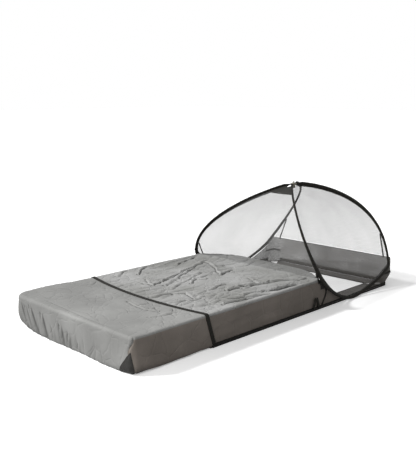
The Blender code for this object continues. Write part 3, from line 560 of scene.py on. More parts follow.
pocket = {
    "cell": 0.0047,
    "pleatDepth": 0.015,
    "pleatWidth": 0.0080,
    "pleats": (  # place at the hem, strength, lean, and how far down it starts
        (0.466, 0.6, 0.040, 0.05), (0.428, 0.8, 0.050, 0.10), (0.386, 0.6, 0.060, 0.10), (0.342, 1.0, 0.070, 0.05),
        (0.300, 0.8, 0.075, 0.12), (0.255, 1.2, 0.075, 0.08), (0.183, 1.5, 0.056, 0.18), (0.120, 0.4, 0.030, 0.40),
        (0.050, 1.2, 0.040, 0.30), (0.003, 0.9, 0.006, 0.42), (-0.068, 0.6, 0.010, 0.55),
    ),
    "endLumps": 0.0030,
    "sideLumps": 0.0045,
    "grooveFromFoot": 0.034,
    "grooveDepth": 0.0024,
    "seamLean": 0.020,
    "seamDepth": 0.0036,
    "seamWidth": 0.0045,
    "crown": 0.012,
    "flare": 0.014,
    "folds": (
        (0.0037, (-0.13, -0.04), (-0.15, -0.11), (-0.16, -0.19), (-0.14, -0.25)),
        (0.0030, (-0.12, -0.05), (-0.14, -0.14), (-0.13, -0.20)),
        (0.0023, (-0.22, -0.29), (-0.17, -0.31), (-0.09, -0.31)),
    ),
}
pocket["wallLength"] = coverTop + (pi / 2 - 1) * (edgeRoll + cover["tuck"])


# both corners are drawn further under than the rest, and the far one most
def tuckAt(around):
    far, near = bell(around - halfWidth, 0.15), bell(around + halfWidth, 0.09)
    return cover["tuck"] + (cover["farTuck"] - cover["tuck"]) * far + (cover["nearTuck"] - cover["tuck"]) * near


# the side a place is on, its corner's radius and how far out that corner's axis stands
def cornerOf(y):
    side, radius = (-1, cover["nearCorner"]) if y < 0 else (1, cover["farCorner"])
    return side, radius, halfWidth - radius


# a point by its distance round the foot from the middle of the foot end, and its distance out over the edge
def pocketWall(around, past):
    side, radius, middleY = cornerOf(around)
    before, after, heading = roundCorner(abs(around) - middleY, radius)
    base = Vector((footX + radius + after, side * (middleY + before), 0))
    out = Vector((-cos(heading), side * sin(heading), 0))
    reach, drop, tilt = overEdge(past, tuckAt(around), pocket["wallLength"])
    place = base + out * (radius - edgeRoll + reach)
    place.z = coverTop - drop
    return place, out * sin(tilt) + zAxis * cos(tilt), drop


# the same point from the flat cut of cloth, whose two corners are gathered
def pocketPoint(x, v):
    side, radius, middleY = cornerOf(v)
    a = footX + radius - x
    b = abs(v) - middleY
    if a > 0 and b > 0:
        past = max(a, b)
        turn = 0.5 * b / a if a >= b else 1 - 0.5 * a / b
        around = middleY + radius * pi / 2 * turn
    elif a > 0:
        past, around = a, abs(v)
    else:
        past, around = b, middleY + radius * pi / 2 - a
    past -= radius - edgeRoll
    return *pocketWall(side * around, past), side * around


# how far down the near corner's seam has leant to the foot end
def leaning(down):
    return pocket["seamLean"] * smoothStep((down - 0.08) / 0.30)


# pleats hang from the far corner, lean to the near side and deepen towards the hem
def pleatDepth(around, down):
    depth = 0.0
    for hemPlace, strength, lean, start in pocket["pleats"]:
        centre = hemPlace + lean * (1 - down)
        gap = (around - centre) / (pocket["pleatWidth"] * (0.6 + 0.5 * down))
        if abs(gap) < 5:
            depth += strength * smoothStep((down - start) / 0.35) * (0.7 * bell(gap + 1.9, 1) - bell(gap, 1))
    return depth * pocket["pleatDepth"]


def wallFolds(around, drop, wall):
    down = drop / coverTop
    folds = pleatDepth(around, down) * wall * (0.12 + 0.88 * smoothStep((coverTop - drop) / 0.030))
    folds += pocket["flare"] * wall * down * bell(around + 0.36, 0.22)
    onSide = smoothStep((abs(around) - halfWidth) / 0.06)
    folds += lumps(around, drop * 0.4, 0.085, 9.0) * pocket["endLumps"] * wall
    folds += lumps(around * 0.45 + drop * 0.8, drop * 0.9, 0.060, 21.0) * pocket["sideLumps"] * wall * onSide
    onEnd = wall * smoothStep((halfWidth + 0.06 - abs(around)) / 0.08)
    folds += crumple(around, drop * 0.5, 0.075, 12.0) * pocket["sideLumps"] * onEnd * smoothStep((down - 0.30) / 0.4)
    seam = around + halfWidth - 0.004 - leaning(down)
    return folds - pocket["seamDepth"] * bell(seam, pocket["seamWidth"]) * wall * smoothStep((0.62 - down) / 0.2)


def flatFolds(x, y, toTape):
    calm = lumps(x, y * 0.8, 0.20, 3.0) * pocket["endLumps"]
    calm += crumple(x, y * 0.6, 0.045, 17.0) * 0.0022
    calm += crumple((x * 0.7 + y * 0.5) * 0.6, y * 0.5 - x * 0.7, 0.06, 4.0) * 0.0075 * smoothStep(1 - toTape / 0.19)
    calm += lineFolds(x - tapeX, y, pocket["folds"])
    calm += pocket["crown"] * bell(x - footX - 0.16, 0.16) * bell(y - 0.33, 0.20)
    groove = x - footX - pocket["grooveFromFoot"] - 0.010 * sin(y * 7)
    return calm - pocket["grooveDepth"] * bell(groove, 0.006) * smoothStep((0.32 - abs(y + 0.02)) / 0.12)


def pocketFolds(place, normal, drop, around):
    wall = min(1.0, normal.xy.length)
    toTape = tapeLine(place.y) - place.x
    still = smoothStep((toTape - 0.008) / 0.03)
    return (wallFolds(around, drop, wall) + flatFolds(place.x, place.y, toTape) * (1 - wall)) * still


# the painted shade of the sides starts at the corner, and on the near one it follows the seam, which leans to the foot
# end
def inPaintedSideShade(place):
    below = (coverTop - place.z) / coverTop
    if place.y > 0:
        return place.y > halfWidth - 0.006 and below > 0.07
    return below > 0.07 and -place.y > halfWidth - 0.006 - leaning(below)


def buildPocket():
    past = pocket["wallLength"] - edgeRoll
    lowX = footX - past
    halfCut = halfWidth + past
    length = tapeX - lowX
    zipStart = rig.box("zip_tape_lower")[0].x

    def place(u, v):
        across = halfCut * (2 * v - 1)
        along = lowX + length * u
        drop = overEdge(abs(across) - flatEdge, cover["tuck"])[1]
        bow = seamLine(across, drop) - tapeX
        along += bow * smoothStep((along - footX - 0.06) / (length - past - 0.06))
        point, normal, drop, around = pocketPoint(along, across)
        point += normal * (pocketFolds(point, normal, drop, around) - clothWall)
        point.z = max(point.z, clothWall / 2)
        if point.y < 0 and point.z < 0.024:  # room for the slider at the zip's end
            point.x = min(point.x, zipStart - 0.0010 + 0.04 * smoothStep((point.z - 0.016) / 0.008))
        return point

    cells = (round(length / pocket["cell"]), round(2 * halfCut / pocket["cell"]))
    bm = cutCloth(*cells, length, 2 * halfCut, place)
    # the pocket's sides take the darker copy of the taffeta: painted shade
    for face in bm.faces:
        face.material_index = int(inPaintedSideShade(face.calc_center_median()))
    piece = makePiece(
        "footPocket", bm, coverCloth, "cover",
        ("foot_top_panel", "foot_end_panel", "foot_side_near", "foot_side_far"), "cover_cloth", clothWall,
        sheet=((2 * halfCut, length), "stretched", ["under_flap_foot"]),
    )
    # second slot: the darker copy of the taffeta, painted shade for the sides
    piece.data.materials.append(paintedShadeCloth)


# a triangle of net, set into the near corner's hem
def buildGusset():
    gusset = {"left": -0.350, "right": -0.4555, "apex": -0.4360, "height": 0.102, "proud": 0.0012, "tip": 0.0015}

    def place(u, v):
        across = gusset["left"] + (gusset["right"] - gusset["left"]) * u
        tip = gusset["apex"] + gusset["tip"] * (0.5 - u)
        around = across + (tip - across) * v
        start = rollLength + coverTop - gusset["height"] - edgeRoll
        past = pocket["wallLength"] + (start - pocket["wallLength"]) * v
        point, normal, drop = pocketWall(around, past)
        point += normal * (pocketFolds(point, normal, drop, around) + gusset["proud"])
        point.z = max(point.z, clothWall / 2)
        return point

    bm = cutCloth(26, 26, gusset["left"] - gusset["right"], gusset["height"], place)
    makePiece(
        "cornerGusset", bm, gussetNet, "cover", ("foot_gusset",), "dark_net", clothWall,
        sheet=((gusset["left"] - gusset["right"], gusset["height"] * 1.2), "stretched", ["footPocket"]),
    )


buildPocket()
buildGusset()
print("foot pocket done")


# the two sprung hoops

hoop = {
    "apexFromHead": 0.384,
    "apexZ": 0.598,
    "straight": 0.036,
    "spacing": 0.012,
    "apexHandle": 0.020,
    "footBase": (legFromHead, 0.462, 0.175),
    "floorPoint": (0.4166, 0.466, 0.0105),
    "headBase": (0.050, 0.462, 0.1287),
    "footRun": (0.4454, 0.3371, -1.0),
    "headRun": (0.5950, -0.4920, 1.0),
    "legHandles": (0.3132, 0.5370),
    "lowHandle": 0.040,
    "floorHandles": (0.159, 0.100),
    "gathering": 1.25,
    "legSteps": 48,
    "lowSteps": 20,
    "halfWide": 0.0136,
    "lowNarrow": 0.30,
    "halfThick": 0.0062,
    "atTie": 0.0031,
    "pinchFrom": 0.017,
    "pinch": 0.040,
    "pucker": 0.0006,
    "girth": 0.038,
    "seam": 0.0012,
    "seat": 0.0012,
    "netCut": (0.76, 0.62),
}
apexX = headX - hoop["apexFromHead"]
headLegStart = hoop["legSteps"] + 2 * hoop["lowSteps"]
lastStation = headLegStart + hoop["legSteps"]


def curve(start, leave, arrive, end, shares):
    points = []
    for t in shares:
        s = 1 - t
        points.append(start * s**3 + leave * 3 * s * s * t + arrive * 3 * s * t * t + end * t**3)
    return points


# stations down the foot leg, along the floor and up the head leg: the middle, the run and the way out
def hoopStations(side):
    def at(fromHead, out, height):
        return Vector((headX - fromHead, side * out, height))

    def heading(run):
        return Vector((run[0], side * run[1], run[2])).normalized()

    footBase, floorPoint, headBase = (at(*hoop[key]) for key in ("footBase", "floorPoint", "headBase"))
    down, up = heading(hoop["footRun"]), heading(hoop["headRun"])
    half, legs, lows = hoop["straight"] / 2, hoop["legSteps"], hoop["lowSteps"]
    apexFoot, apexHead = (at(hoop["apexFromHead"] + gap, hoop["spacing"] / 2, hoop["apexZ"]) for gap in (half, -half))
    apexReach, lowReach = xAxis * hoop["apexHandle"], hoop["lowHandle"]
    legReach, floorReach = hoop["legHandles"], [xAxis * reach for reach in hoop["floorHandles"]]
    away = [(i / legs) ** hoop["gathering"] for i in range(legs)]
    back = [1 - ((legs - i) / legs) ** hoop["gathering"] for i in range(legs)]
    even = [i / lows for i in range(lows)]
    middles = curve(apexFoot, apexFoot - apexReach, footBase - down * legReach[0], footBase, away)
    middles += curve(footBase, footBase + down * lowReach, floorPoint - floorReach[0], floorPoint, even)
    middles += curve(floorPoint, floorPoint + floorReach[1], headBase - up * lowReach, headBase, even)
    middles += curve(headBase, headBase + up * legReach[1], apexHead + apexReach, apexHead, back)
    middles += [apexHead]
    stations = []
    for i, middle in enumerate(middles):
        run = (middles[min(i + 1, lastStation)] - middles[max(i - 1, 0)]).normalized()
        if i in (0, lastStation):
            run = -xAxis
        out = Vector((0, side, 0))
        stations.append((middle, run, (out - run * out.dot(run)).normalized()))
    return stations


stationsOf = {word: hoopStations(side) for word, side in sides.items()}


# the sleeve is drawn in where the hoop comes down to the floor
def sleeveReach(z):
    return hoop["halfWide"] * (1 - hoop["lowNarrow"] * smoothStep((0.14 - z) / 0.08))


# the sleeve is folded round the wire and sewn to the net, so its inner side is pinched to a flange
def buildSleeve(word, side):
    stations = list(stationsOf[word])
    tieRings = 6
    for i in range(1, tieRings):
        middle = stations[lastStation][0].lerp(stations[0][0], i / tieRings)
        stations.append((middle, stations[0][1], stations[0][2]))
    rings = len(stations)

    def place(u, v):
        middle, run, out = stations[round(u * rings) % rings]
        angle = 2 * pi * v
        inner = cos(angle)
        pull = smoothStep((abs(middle.x - apexX) - hoop["pinchFrom"]) / hoop["pinch"]) if middle.z > 0.56 else 1.0
        pucker = lumps(middle.x + middle.y, middle.z, 0.022, 3.0 + inner) * pull * hoop["pucker"]
        wide = hoop["atTie"] + (sleeveReach(middle.z) - hoop["atTie"]) * pull + pucker
        thick = hoop["atTie"] + (hoop["halfThick"] - hoop["atTie"]) * pull + pucker
        thick *= 1 - 0.66 * pull * smoothStep((inner - 0.15) / 0.7)
        point = middle + run.cross(out) * side * wide * inner + out * thick * sin(angle)
        point.z = max(point.z, 0.0004)
        return point

    bm = cutCloth(rings, 16, pathLength([station[0] for station in stations]), hoop["girth"], place, sewn=True)
    nodes = [f"sleeve_{part}_{word}" for part in ("foot", "low", "head")]
    makePiece(f"hoopSleeve_{word}", bm, sleevePolyester, f"hoop_{word}", nodes, "sleeve_cloth")


def buildSideNet(word, side):
    stations, first = stationsOf[word], 3
    rows = hoop["legSteps"] + hoop["lowSteps"] - 1 - first

    def place(u, v):
        i = first + round(u * rows)
        a, b = (middle + run.cross(out) * (sleeveReach(middle.z) - hoop["seam"]) * side
                for middle, run, out in (stations[i], stations[lastStation - i]))
        point = a.lerp(b, v)
        slack = sin(pi * v) * (b - a).length
        return point + Vector((0, side * slack * 0.010 * lumps(point.x, point.z, 0.16, 4.0 + side), 0))

    tall, long = hoop["netCut"]
    bm = cutCloth(rows, 60, long, tall, place)
    makePiece(f"sideNet_{word}", bm, domeNet, f"hoop_{word}", (f"side_net_{word}",), "fine_net",
              sheet=(hoop["netCut"], "stretched", [f"hoopSleeve_{word}"]))


for word, side in sides.items():
    buildSleeve(word, side)
    buildSideNet(word, side)
print("hoops done")


# the middle cloth and its side skirts

topCloth = {
    "cell": 0.0044,
    "edgeBow": 0.130,
    "hemGaps": (0.018, 0.0015),
    "tapeStill": 0.03,
    "broad": 0.0060,
    "fine": 0.0080,
    "fanRidges": 0.0058,
    "fanPitch": 0.034,
    "folds": (  # height, then points from the cross tape towards the head and from the middle to the far side
        (0.0054, (0.22, 0.12), (0.45, 0.20), (0.71, 0.28)),
        (0.0060, (0.13, 0.15), (0.13, 0.09), (0.21, 0.13), (0.24, 0.13)),
        (0.0048, (0.19, 0.20), (0.15, 0.13)),
        (0.0060, (0.22, 0.31), (0.31, 0.39), (0.38, 0.43)),
        (0.0042, (0.12, 0.36), (0.22, 0.43)),
        (0.0054, (0.30, -0.02), (0.38, 0.04), (0.41, -0.01)),
        (0.0042, (0.42, 0.03), (0.50, 0.03), (0.53, -0.01)),
        (0.0060, (0.69, 0.25), (0.65, 0.15), (0.53, -0.01)),
        (0.0048, (0.53, -0.01), (0.66, 0.04)),
        (0.0085, (0.33, -0.34), (0.43, -0.37), (0.54, -0.40), (0.65, -0.42)),
        (0.0085, (0.34, -0.23), (0.45, -0.24), (0.55, -0.28), (0.67, -0.30), (0.78, -0.38)),
        (0.0080, (0.24, -0.35), (0.33, -0.385), (0.43, -0.42)),
        (0.0065, (0.15, -0.38), (0.24, -0.40), (0.32, -0.41)),
        (0.0054, (0.36, -0.22), (0.41, -0.215), (0.43, -0.27), (0.49, -0.26)),
        (0.0048, (0.59, -0.17), (0.57, -0.21), (0.54, -0.27)),
        (0.0042, (-0.02, -0.19), (0.05, -0.22)),
        (0.0054, (-0.01, -0.06), (0.05, -0.06), (0.12, -0.07), (0.16, -0.12), (0.13, -0.21)),
        (0.0042, (0.18, 0.05), (0.33, 0.12), (0.53, 0.21)),
        (0.0042, (0.16, -0.02), (0.32, 0.04), (0.49, 0.11)),
        (0.0048, (0.53, 0.34), (0.64, 0.37), (0.72, 0.40)),
        (0.0042, (0.06, -0.19), (0.08, -0.23), (0.17, -0.23)),
        (0.0036, (0.05, -0.30), (0.10, -0.33), (0.18, -0.33)),
        (0.0048, (0.26, -0.17), (0.32, -0.16), (0.40, -0.15)),
    ),
}


# where the hoop passes a height on its way down to the floor
def lowPathX(height):
    path = [station[0] for station in stationsOf["far"][hoop["legSteps"] : hoop["legSteps"] + hoop["lowSteps"] + 1]]
    for a, b in zip(path, path[1:]):
        if b.z <= height:
            return a.x + (b.x - a.x) * max(0.0, min(1.0, (a.z - height) / (a.z - b.z)))
    return path[-1].x


# long folds run from each leg's base towards the foot and spread as they go
def legFan(x, y):
    fold = 0.0
    for side in (-1, 1):
        dx = netX + 0.03 - x
        dy = halfWidth - y * side
        if dx <= 0:
            continue
        angle = atan2(dy, dx)
        reach = hypot(dx, dy)
        spread = smoothStep((angle - 0.02) / 0.06) * smoothStep((0.62 - angle) / 0.35)
        fade = smoothStep(reach / 0.12) * smoothStep((0.70 - reach) / 0.42)
        sway = 0.9 * lumps(x, y, 0.16, 7.0) + 0.4 * lumps(x, y, 0.05, 8.0)
        phase = dy / topCloth["fanPitch"] * pi * (0.25 / (0.10 + reach)) + sway
        fold += (1 - 2 * sqrt(abs(sin(phase)))) * spread * fade
    return fold


def headEdge(y, half):
    return netX + topCloth["edgeBow"] * (1 - (abs(y) / half) ** 4)


def topFolds(x, y):
    still = smoothStep((x - tapeLine(y) - 0.008) / topCloth["tapeStill"])
    still *= 0.35 + 0.65 * smoothStep((headEdge(y, halfWidth) - x) / 0.05)
    broad = lumps(x * 0.8, y, 0.17, 1.0) * topCloth["broad"]
    fan = legFan(x, y)
    calmer = 1 - 0.6 * min(1.0, abs(fan))
    fine = crumple(x * 0.5 + y * 0.2, y, 0.075, 2.0) + 0.6 * crumple(x * 0.6, y * 0.9 + x * 0.25, 0.042, 5.0)
    bentX = x - tapeX + 0.012 * lumps(x, y, 0.05, 14.0)
    lines = lineFolds(bentX, y + 0.012 * lumps(x, y, 0.05, 16.0), topCloth["folds"])
    return (broad + fine * topCloth["fine"] * calmer + fan * topCloth["fanRidges"] + lines) * still


def middlePoint(x, across):
    side = -1 if across < 0 else 1
    reach, drop, tilt = overEdge(abs(across) - flatEdge, 0)
    y = side * (flatEdge + reach)
    wall = sin(tilt)
    edge = smoothStep((flatEdge - abs(y)) / 0.03) if drop == 0 else 0.0
    folds = topFolds(x, y) * (0.35 + 0.65 * edge) * (1 - wall)
    below = drop / coverTop
    hang = lumps(x * 0.22, drop, 0.034, 6.0 + side) * 0.0030 + lumps(x, drop, 0.11, 2.0) * 0.0018
    folds += hang * wall * smoothStep(below / 0.25) * smoothStep((1 - below) / 0.25)
    normal = Vector((0, side * wall, cos(tilt)))
    return Vector((x, y, coverTop - drop)) + normal * (folds - clothWall), y, drop


def buildMiddle():
    rolled = flatEdge + rollLength
    nearDrop, farDrop = (coverTop - edgeRoll - gap for gap in topCloth["hemGaps"])

    def placeFrom(low, high):
        def place(u, v):
            across = low + (high - low) * v
            _, y, drop = middlePoint(0.0, across)
            flat = abs(across) <= flatEdge
            start, end = seamLine(y, drop), headEdge(y, flatEdge) if flat else lowPathX(min(0.175, coverTop - drop))
            return middlePoint(start + (end - start) * u, across)[0]
        return place

    # the side skirts take the darker copy of the taffeta: painted shade on the sides
    for name, low, high, length, material, node, slot, restsOn in (
        ("middleCloth", -rolled, rolled, 0.95, crumpledCloth, "middle_top_panel", "cover_cloth", "cross_tape_top"),
        ("sideSkirt_near", -rolled - nearDrop, -rolled, 1.10, paintedShadeCloth, "skirt_near", "side_cloth", "middleCloth"),
        ("sideSkirt_far", rolled, rolled + farDrop, 1.13, paintedShadeCloth, "skirt_far", "side_cloth", "middleCloth"),
    ):
        cells = (round(length / topCloth["cell"]), round((high - low) / topCloth["cell"]))
        bm = cutCloth(*cells, length, high - low, placeFrom(low, high))
        makePiece(name, bm, material, "cover", (node,), slot, clothWall,
                  sheet=((high - low, length), "stretched", [restsOn]))


buildMiddle()
print("middle cloth done")


# the tapes on the cover

tapes = {"wide": 0.021, "hem": 0.022, "thick": 0.0012, "hemLevel": 0.011, "headHalf": 0.3945, "headProud": 0.0010,
         "ends": {-1: 0.0206, 1: 0.0226}}  # how high above the floor the side tapes end


def buildTapes():
    proud = clothWall + tapes["thick"] * 0.75
    reach = edgeRoll + proud
    path = [Vector((tapeLine(y), y, coverTop + proud)) for y in (flatEdge * (2 * i / 60 - 1) for i in range(61))]
    for side, low in tapes["ends"].items():
        turned = []
        for i in range(1, 9):
            turn = pi / 2 * i / 8
            y = side * (flatEdge + reach * sin(turn))
            turned.append(Vector((tapeLine(y), y, coverTop - edgeRoll + reach * cos(turn))))
        turned += between(turned[-1], (seamLine(y, coverTop - low), y, low), 12)[1:]
        path = [*reversed(turned), *path] if side < 0 else [*path, *turned]
    makeStrap("crossTape", path, xAxis, tapes["wide"], tapes["thick"],
              ("cross_tape_top", "cross_tape_near", "cross_tape_far"), wideTape)
    out, level, headFace = halfWidth + clothWall + tapes["thick"] / 2, tapes["hemLevel"], headX + tapes["headProud"]
    nearStart, hemEnd = (corner.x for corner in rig.box("hem_tape_near"))
    for word, start, end, steps in (
        ("far", (tapeX, out, level), (hemEnd, out, level), 120),
        ("near", (nearStart, -out, level), (hemEnd, -out, level), 8),
        ("head", (headFace, -tapes["headHalf"], level), (headFace, tapes["headHalf"], level), 80),
    ):
        makeStrap(f"hemTape_{word}", between(start, end, steps), zAxis, tapes["hem"], tapes["thick"],
                  (f"hem_tape_{word}",), wideTape)


buildTapes()
print("tapes done")


# the dark net round the head end, drawn in at its two lower corners

skirt = {"low": 0.0015, "zipTop": 0.0185, "corner": 0.006, "roll": 0.010, "gatherAcross": 0.085, "gatherUp": 0.062}


# how high the hoop stands over a place on its way up from the floor
def headPathZ(x):
    path = [station[0] for station in stationsOf["far"][headLegStart - hoop["lowSteps"] : headLegStart + 12]]
    for a, b in zip(path, path[1:]):
        if b.x >= x:
            return a.z + (b.z - a.z) * (x - a.x) / (b.x - a.x)
    return 1.0


def buildHeadSkirt():
    first = headX - hoop["floorPoint"][0] + 0.004
    sideRun = headX - skirt["corner"] - first
    arc = skirt["corner"] * pi / 2
    endRun = 2 * (halfWidth - skirt["corner"])
    whole = 2 * (sideRun + arc) + endRun
    fullRise = coverTop - skirt["roll"] - skirt["low"] + skirt["roll"] * pi / 2
    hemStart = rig.box("hem_tape_near")[0].x

    def place(u, v):
        gone = u * whole
        side = -1 if gone < whole / 2 else 1
        gone = min(gone, whole - gone)
        low = skirt["low"]
        if side < 0:  # sewn to the upper tape of the zip, as far as it runs
            low += (skirt["zipTop"] - low) * smoothStep((hemStart + 0.012 - first - gone) / 0.008)
        before, after, heading = roundCorner(gone - sideRun, skirt["corner"])
        base = Vector((headX - skirt["corner"] + before, side * (halfWidth - skirt["corner"] - after), 0))
        out = Vector((sin(heading), side * cos(heading), 0))
        full = fullRise
        if gone < sideRun:
            full = min(fullRise - low + skirt["low"], max(0.004, headPathZ(first + gone) - low))
        rise = v * full
        straight = coverTop - skirt["roll"] - low
        turn = max(0.0, rise - straight) / skirt["roll"]
        point = base + out * (skirt["corner"] - skirt["roll"] * (1 - cos(turn)) - 0.0006)
        point.z = low + min(rise, straight) + skirt["roll"] * sin(turn)
        sway = lumps(gone, point.z, 0.07, 5.0 + side) * 0.0022 * sin(pi * min(1.0, v))
        point += out * min(sway, 0.0004)
        a, b = headX - point.x, halfWidth - abs(point.y)
        inside = a / skirt["gatherAcross"] + b / skirt["gatherAcross"] + point.z / skirt["gatherUp"]
        if inside < 1:
            pucker = 0.0018 * sin(gone * 420 + lumps(gone, point.z, 0.02, 2.0) * 2)
            draw = (1 - inside) * skirt["gatherAcross"] / 2 + pucker * smoothStep((1 - inside) / 0.3)
            point.x -= max(0.0, draw)
            point.y -= side * max(0.0, draw)
        return point

    bm = cutCloth(round(whole / 0.006), 28, whole, fullRise, place)
    makePiece(
        "headSkirt", bm, skirtNet, "cover",
        ("head_end_panel", "corner_skirt_near", "corner_skirt_far", "corner_gather_near", "corner_gather_far"),
        "net_skirt", sheet=((fullRise, whole), "gathered", ["hemTape_head"]),
    )


buildHeadSkirt()
print("head skirt done")


# the nets between the hoops, each in two halves that meet over the middle

domeNets = {"frontFirst": 18, "headFirst": 3, "sag": 0.005, "headLowZ": 0.30, "patchFirst": 9, "patchBow": 0.010,
            "frontWeave": (0.46, 0.45), "headWeave": (0.62, 0.45), "patchWeave": (0.085, 0.16),
            "frontCut": (0.46, 0.46), "headCut": (0.62, 0.46), "patchCut": (0.16, 0.10), "blendOver": 0.16}


def seat(station):
    return station[0] - station[2] * (hoop["halfThick"] - hoop["seat"])


# half a net, which stretches between the cover at its middle and the hoop at its edge
def makeDomeNet(word, side, end, bm):
    net = makePiece(f"{end}Net_{word}", bm, domeNet, None, (f"{end}_net",), "fine_net",
                    sheet=(domeNets[f"{end}Cut"], "stretched", [f"hoopSleeve_{word}"]))
    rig.blend(net, "cover", f"hoop_{word}", start=(0, 0, 0), end=(0, side * domeNets["blendOver"], 0))


def buildFrontNet(word, side):
    stations = stationsOf[word]
    rows = hoop["legSteps"] - domeNets["frontFirst"]

    def place(u, v):
        i = round(u * (rows + 1))
        if i > rows:
            y = side * flatEdge * (1 - v)
            return Vector((netX, y, coverTop + topFolds(netX, y) + onCloth))
        held = seat(stations[domeNets["frontFirst"] + i])
        share = 1 - (1 - v) ** 2
        ripple = lumps(held.z, v * abs(held.y), 0.10, 2.0 + side) * 0.002 * sin(pi * min(1, v * 2) / 2)
        return Vector((held.x - ripple * v, held.y * (1 - v), held.z - domeNets["sag"] * share * sin(pi * u)))

    makeDomeNet(word, side, "front", cutCloth(rows + 1, 40, *domeNets["frontWeave"], place))


def buildHeadNet(word, side):
    stations = stationsOf[word]
    leg = [stations[lastStation - k][0] for k in range(hoop["legSteps"])]
    usable = [place for place in leg if place.z > coverTop + 0.003]
    first = domeNets["headFirst"]
    rows = leg.index(usable[-1]) - first
    turnX = next(place.x for place in usable if place.z < domeNets["headLowZ"])

    def place(u, v):
        held = seat(stations[lastStation - first - round(u * rows)])
        low = max(0.0, (domeNets["headLowZ"] - held.z) / (domeNets["headLowZ"] - coverTop))
        middleX = turnX + (headX - 0.0010 - turnX) * low if low > 0 else held.x
        pull = smoothStep(v / 0.03)
        share = 1 - (1 - v) ** 2
        z = held.z - domeNets["sag"] * share * sin(pi * u)
        if u > 0.999:
            z = coverTop + 0.0004
        return Vector((held.x + (middleX - held.x) * pull, held.y * (1 - v), z))

    makeDomeNet(word, side, "head", cutCloth(rows, 60, *domeNets["headWeave"], place))


# the dark patch over the front net's tip; its upper edge dips, which leaves a small opening by the tie
def buildApexPatch():
    near = stationsOf["near"]
    first, last = domeNets["patchFirst"], domeNets["frontFirst"] + 1

    def place(u, v):
        held = seat(near[first + round(u * (last - first))])
        across = 2 * v - 1
        dip = domeNets["patchBow"] * (1 - across * across) * (1 - u)
        lift = 0.0012 * u - 0.002 * sin(pi * v)
        return Vector((held.x - dip, held.y * -across, held.z - dip * 0.35 + lift))

    bm = cutCloth(last - first, 30, *domeNets["patchWeave"], place)
    makePiece("apexPatch", bm, patchCloth, "cover", ("apex_patch",), "binding", tapes["thick"],
              sheet=(domeNets["patchCut"], "stretched", ["apexTie"]))


for word, side in sides.items():
    buildFrontNet(word, side)
    buildHeadNet(word, side)
buildApexPatch()
print("dome nets done")


# the tie at the top and its hang loop

tie = {
    "length": 0.032,
    "round": 0.0046,
    "webLow": 0.574,
    "thick": 0.0012,
    "loopWide": 0.008,
    "loopHalf": 0.0042,
    "loopTop": 0.6133,
    "loopThick": 0.0011,
}


def buildTie():
    z, half, eye = hoop["apexZ"], hoop["spacing"] / 2, tie["round"]
    path = between((apexX, 0.0008, tie["webLow"]), (apexX, 0.0009, z - 0.0056), 6)
    for i in range(17):  # once round the far wire
        angle = radians(-140 + 230 * i / 16)
        path.append(Vector((apexX, half + eye * cos(angle), z + eye * sin(angle))))
    mirrored = [Vector((point.x, -point.y, point.z)) for point in reversed(path)]
    path = [*path, Vector((apexX, 0, z + eye - 0.0014)), *mirrored]
    makeStrap("apexTie", path, xAxis, tie["length"], tie["thick"], ("apex_tie",), beigeWebbing, slot="webbing")
    reach, bottom, top = tie["loopHalf"], z + eye + 0.0008, tie["loopTop"]
    loop = between((apexX, -reach, bottom), (apexX, -reach, top - reach), 2)
    for i in range(1, 12):
        angle = pi * i / 12
        loop.append(Vector((apexX, -reach * cos(angle), top - reach + reach * sin(angle))))
    loop += between((apexX, reach, top - reach), (apexX, reach, bottom), 2)
    makeStrap("hangLoop", loop, xAxis, tie["loopWide"], tie["loopThick"], ("hang_loop",), beigeWebbing, slot="webbing")


buildTie()
print("tie done")


# patches, straps and narrow tapes round the feet of the hoops

straps = {"wide": 0.012, "narrow": 0.009, "tab": 0.011, "tieThick": 0.0010, "patchReach": 0.067, "patchTop": 0.160,
          "patchDrop": 0.058, "tabRise": 0.032, "tabLean": 0.021, "cornerLevel": 0.074, "cornerHalf": 0.390,
          "heldAbove": 0.070, "inFromSide": 0.028}


# a tape from the cover up to a hoop, which bends between the two as the hoop is lifted
def makeTie(name, path, across, width, thick, word, stands):
    tape = makeStrap(name, path, across, width, thick, stands, body=None)
    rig.blend(tape, "cover", f"hoop_{word}", start=path[0], end=path[-1])


def buildLegStraps(word, side):
    out = side * (halfWidth + clothWall + tapes["thick"] / 2)
    base = stationsOf[word][hoop["legSteps"]][0]
    lowZ, tabX = coverTop - straps["patchDrop"], base.x - 0.004

    # the patch is one quad pulled to a leaf along the hoop, with a short tab up to the leg
    def place(u, v):
        right = lowPathX(max(lowZ, 0.170 - 0.063 * u)) + 0.018
        left = base.x - 0.006 + 0.022 * smoothStep(u * 1.4)
        belly = 0.003 * sin(pi * u)
        return Vector((left + (right - left + belly) * v, out, straps["patchTop"] - (straps["patchTop"] - lowZ) * u))

    bm = cutCloth(14, 8, 0.060, 0.045, place)
    makePiece(f"legPatch_{word}", bm, patchCloth, "cover", (f"leg_patch_{word}",), "binding", tapes["thick"])
    tab = smoothPath([
        (tabX - straps["tabLean"], out, coverTop + straps["tabRise"]),
        (tabX - 0.008, out, coverTop + 0.006),
        (tabX + 0.006, out, coverTop - 0.022),
    ], 6)
    makeTie(f"legTab_{word}", tab[::-1], xAxis, straps["tab"], tapes["thick"], word, ())
    right, bottom = base.x + straps["patchReach"] - straps["wide"] / 2, tapes["ends"][side]
    drop = smoothPath([
        (right, out, lowZ + 0.006),
        (right + 0.004, out, (lowZ * 2 + bottom) / 3),
        (right - 0.030, out, bottom),
    ], 8)
    makeStrap(f"legStrap_{word}", drop, xAxis, straps["wide"], tapes["thick"], (f"leg_strap_{word}",))
    face, level = headX + clothWall + tapes["thick"] / 2, straps["cornerLevel"]
    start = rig.box(f"corner_strap_{word}")[0].x
    corner = between((start, out, level), (face - 0.004, out, level), 10)
    corner += [Vector((face - 0.0012, out - side * 0.0012, level))]
    corner += between((face, out - side * 0.004, level), (face, side * straps["cornerHalf"], level), 8)
    makeStrap(f"cornerStrap_{word}", corner, zAxis, straps["wide"], tapes["thick"], (f"corner_strap_{word}",))


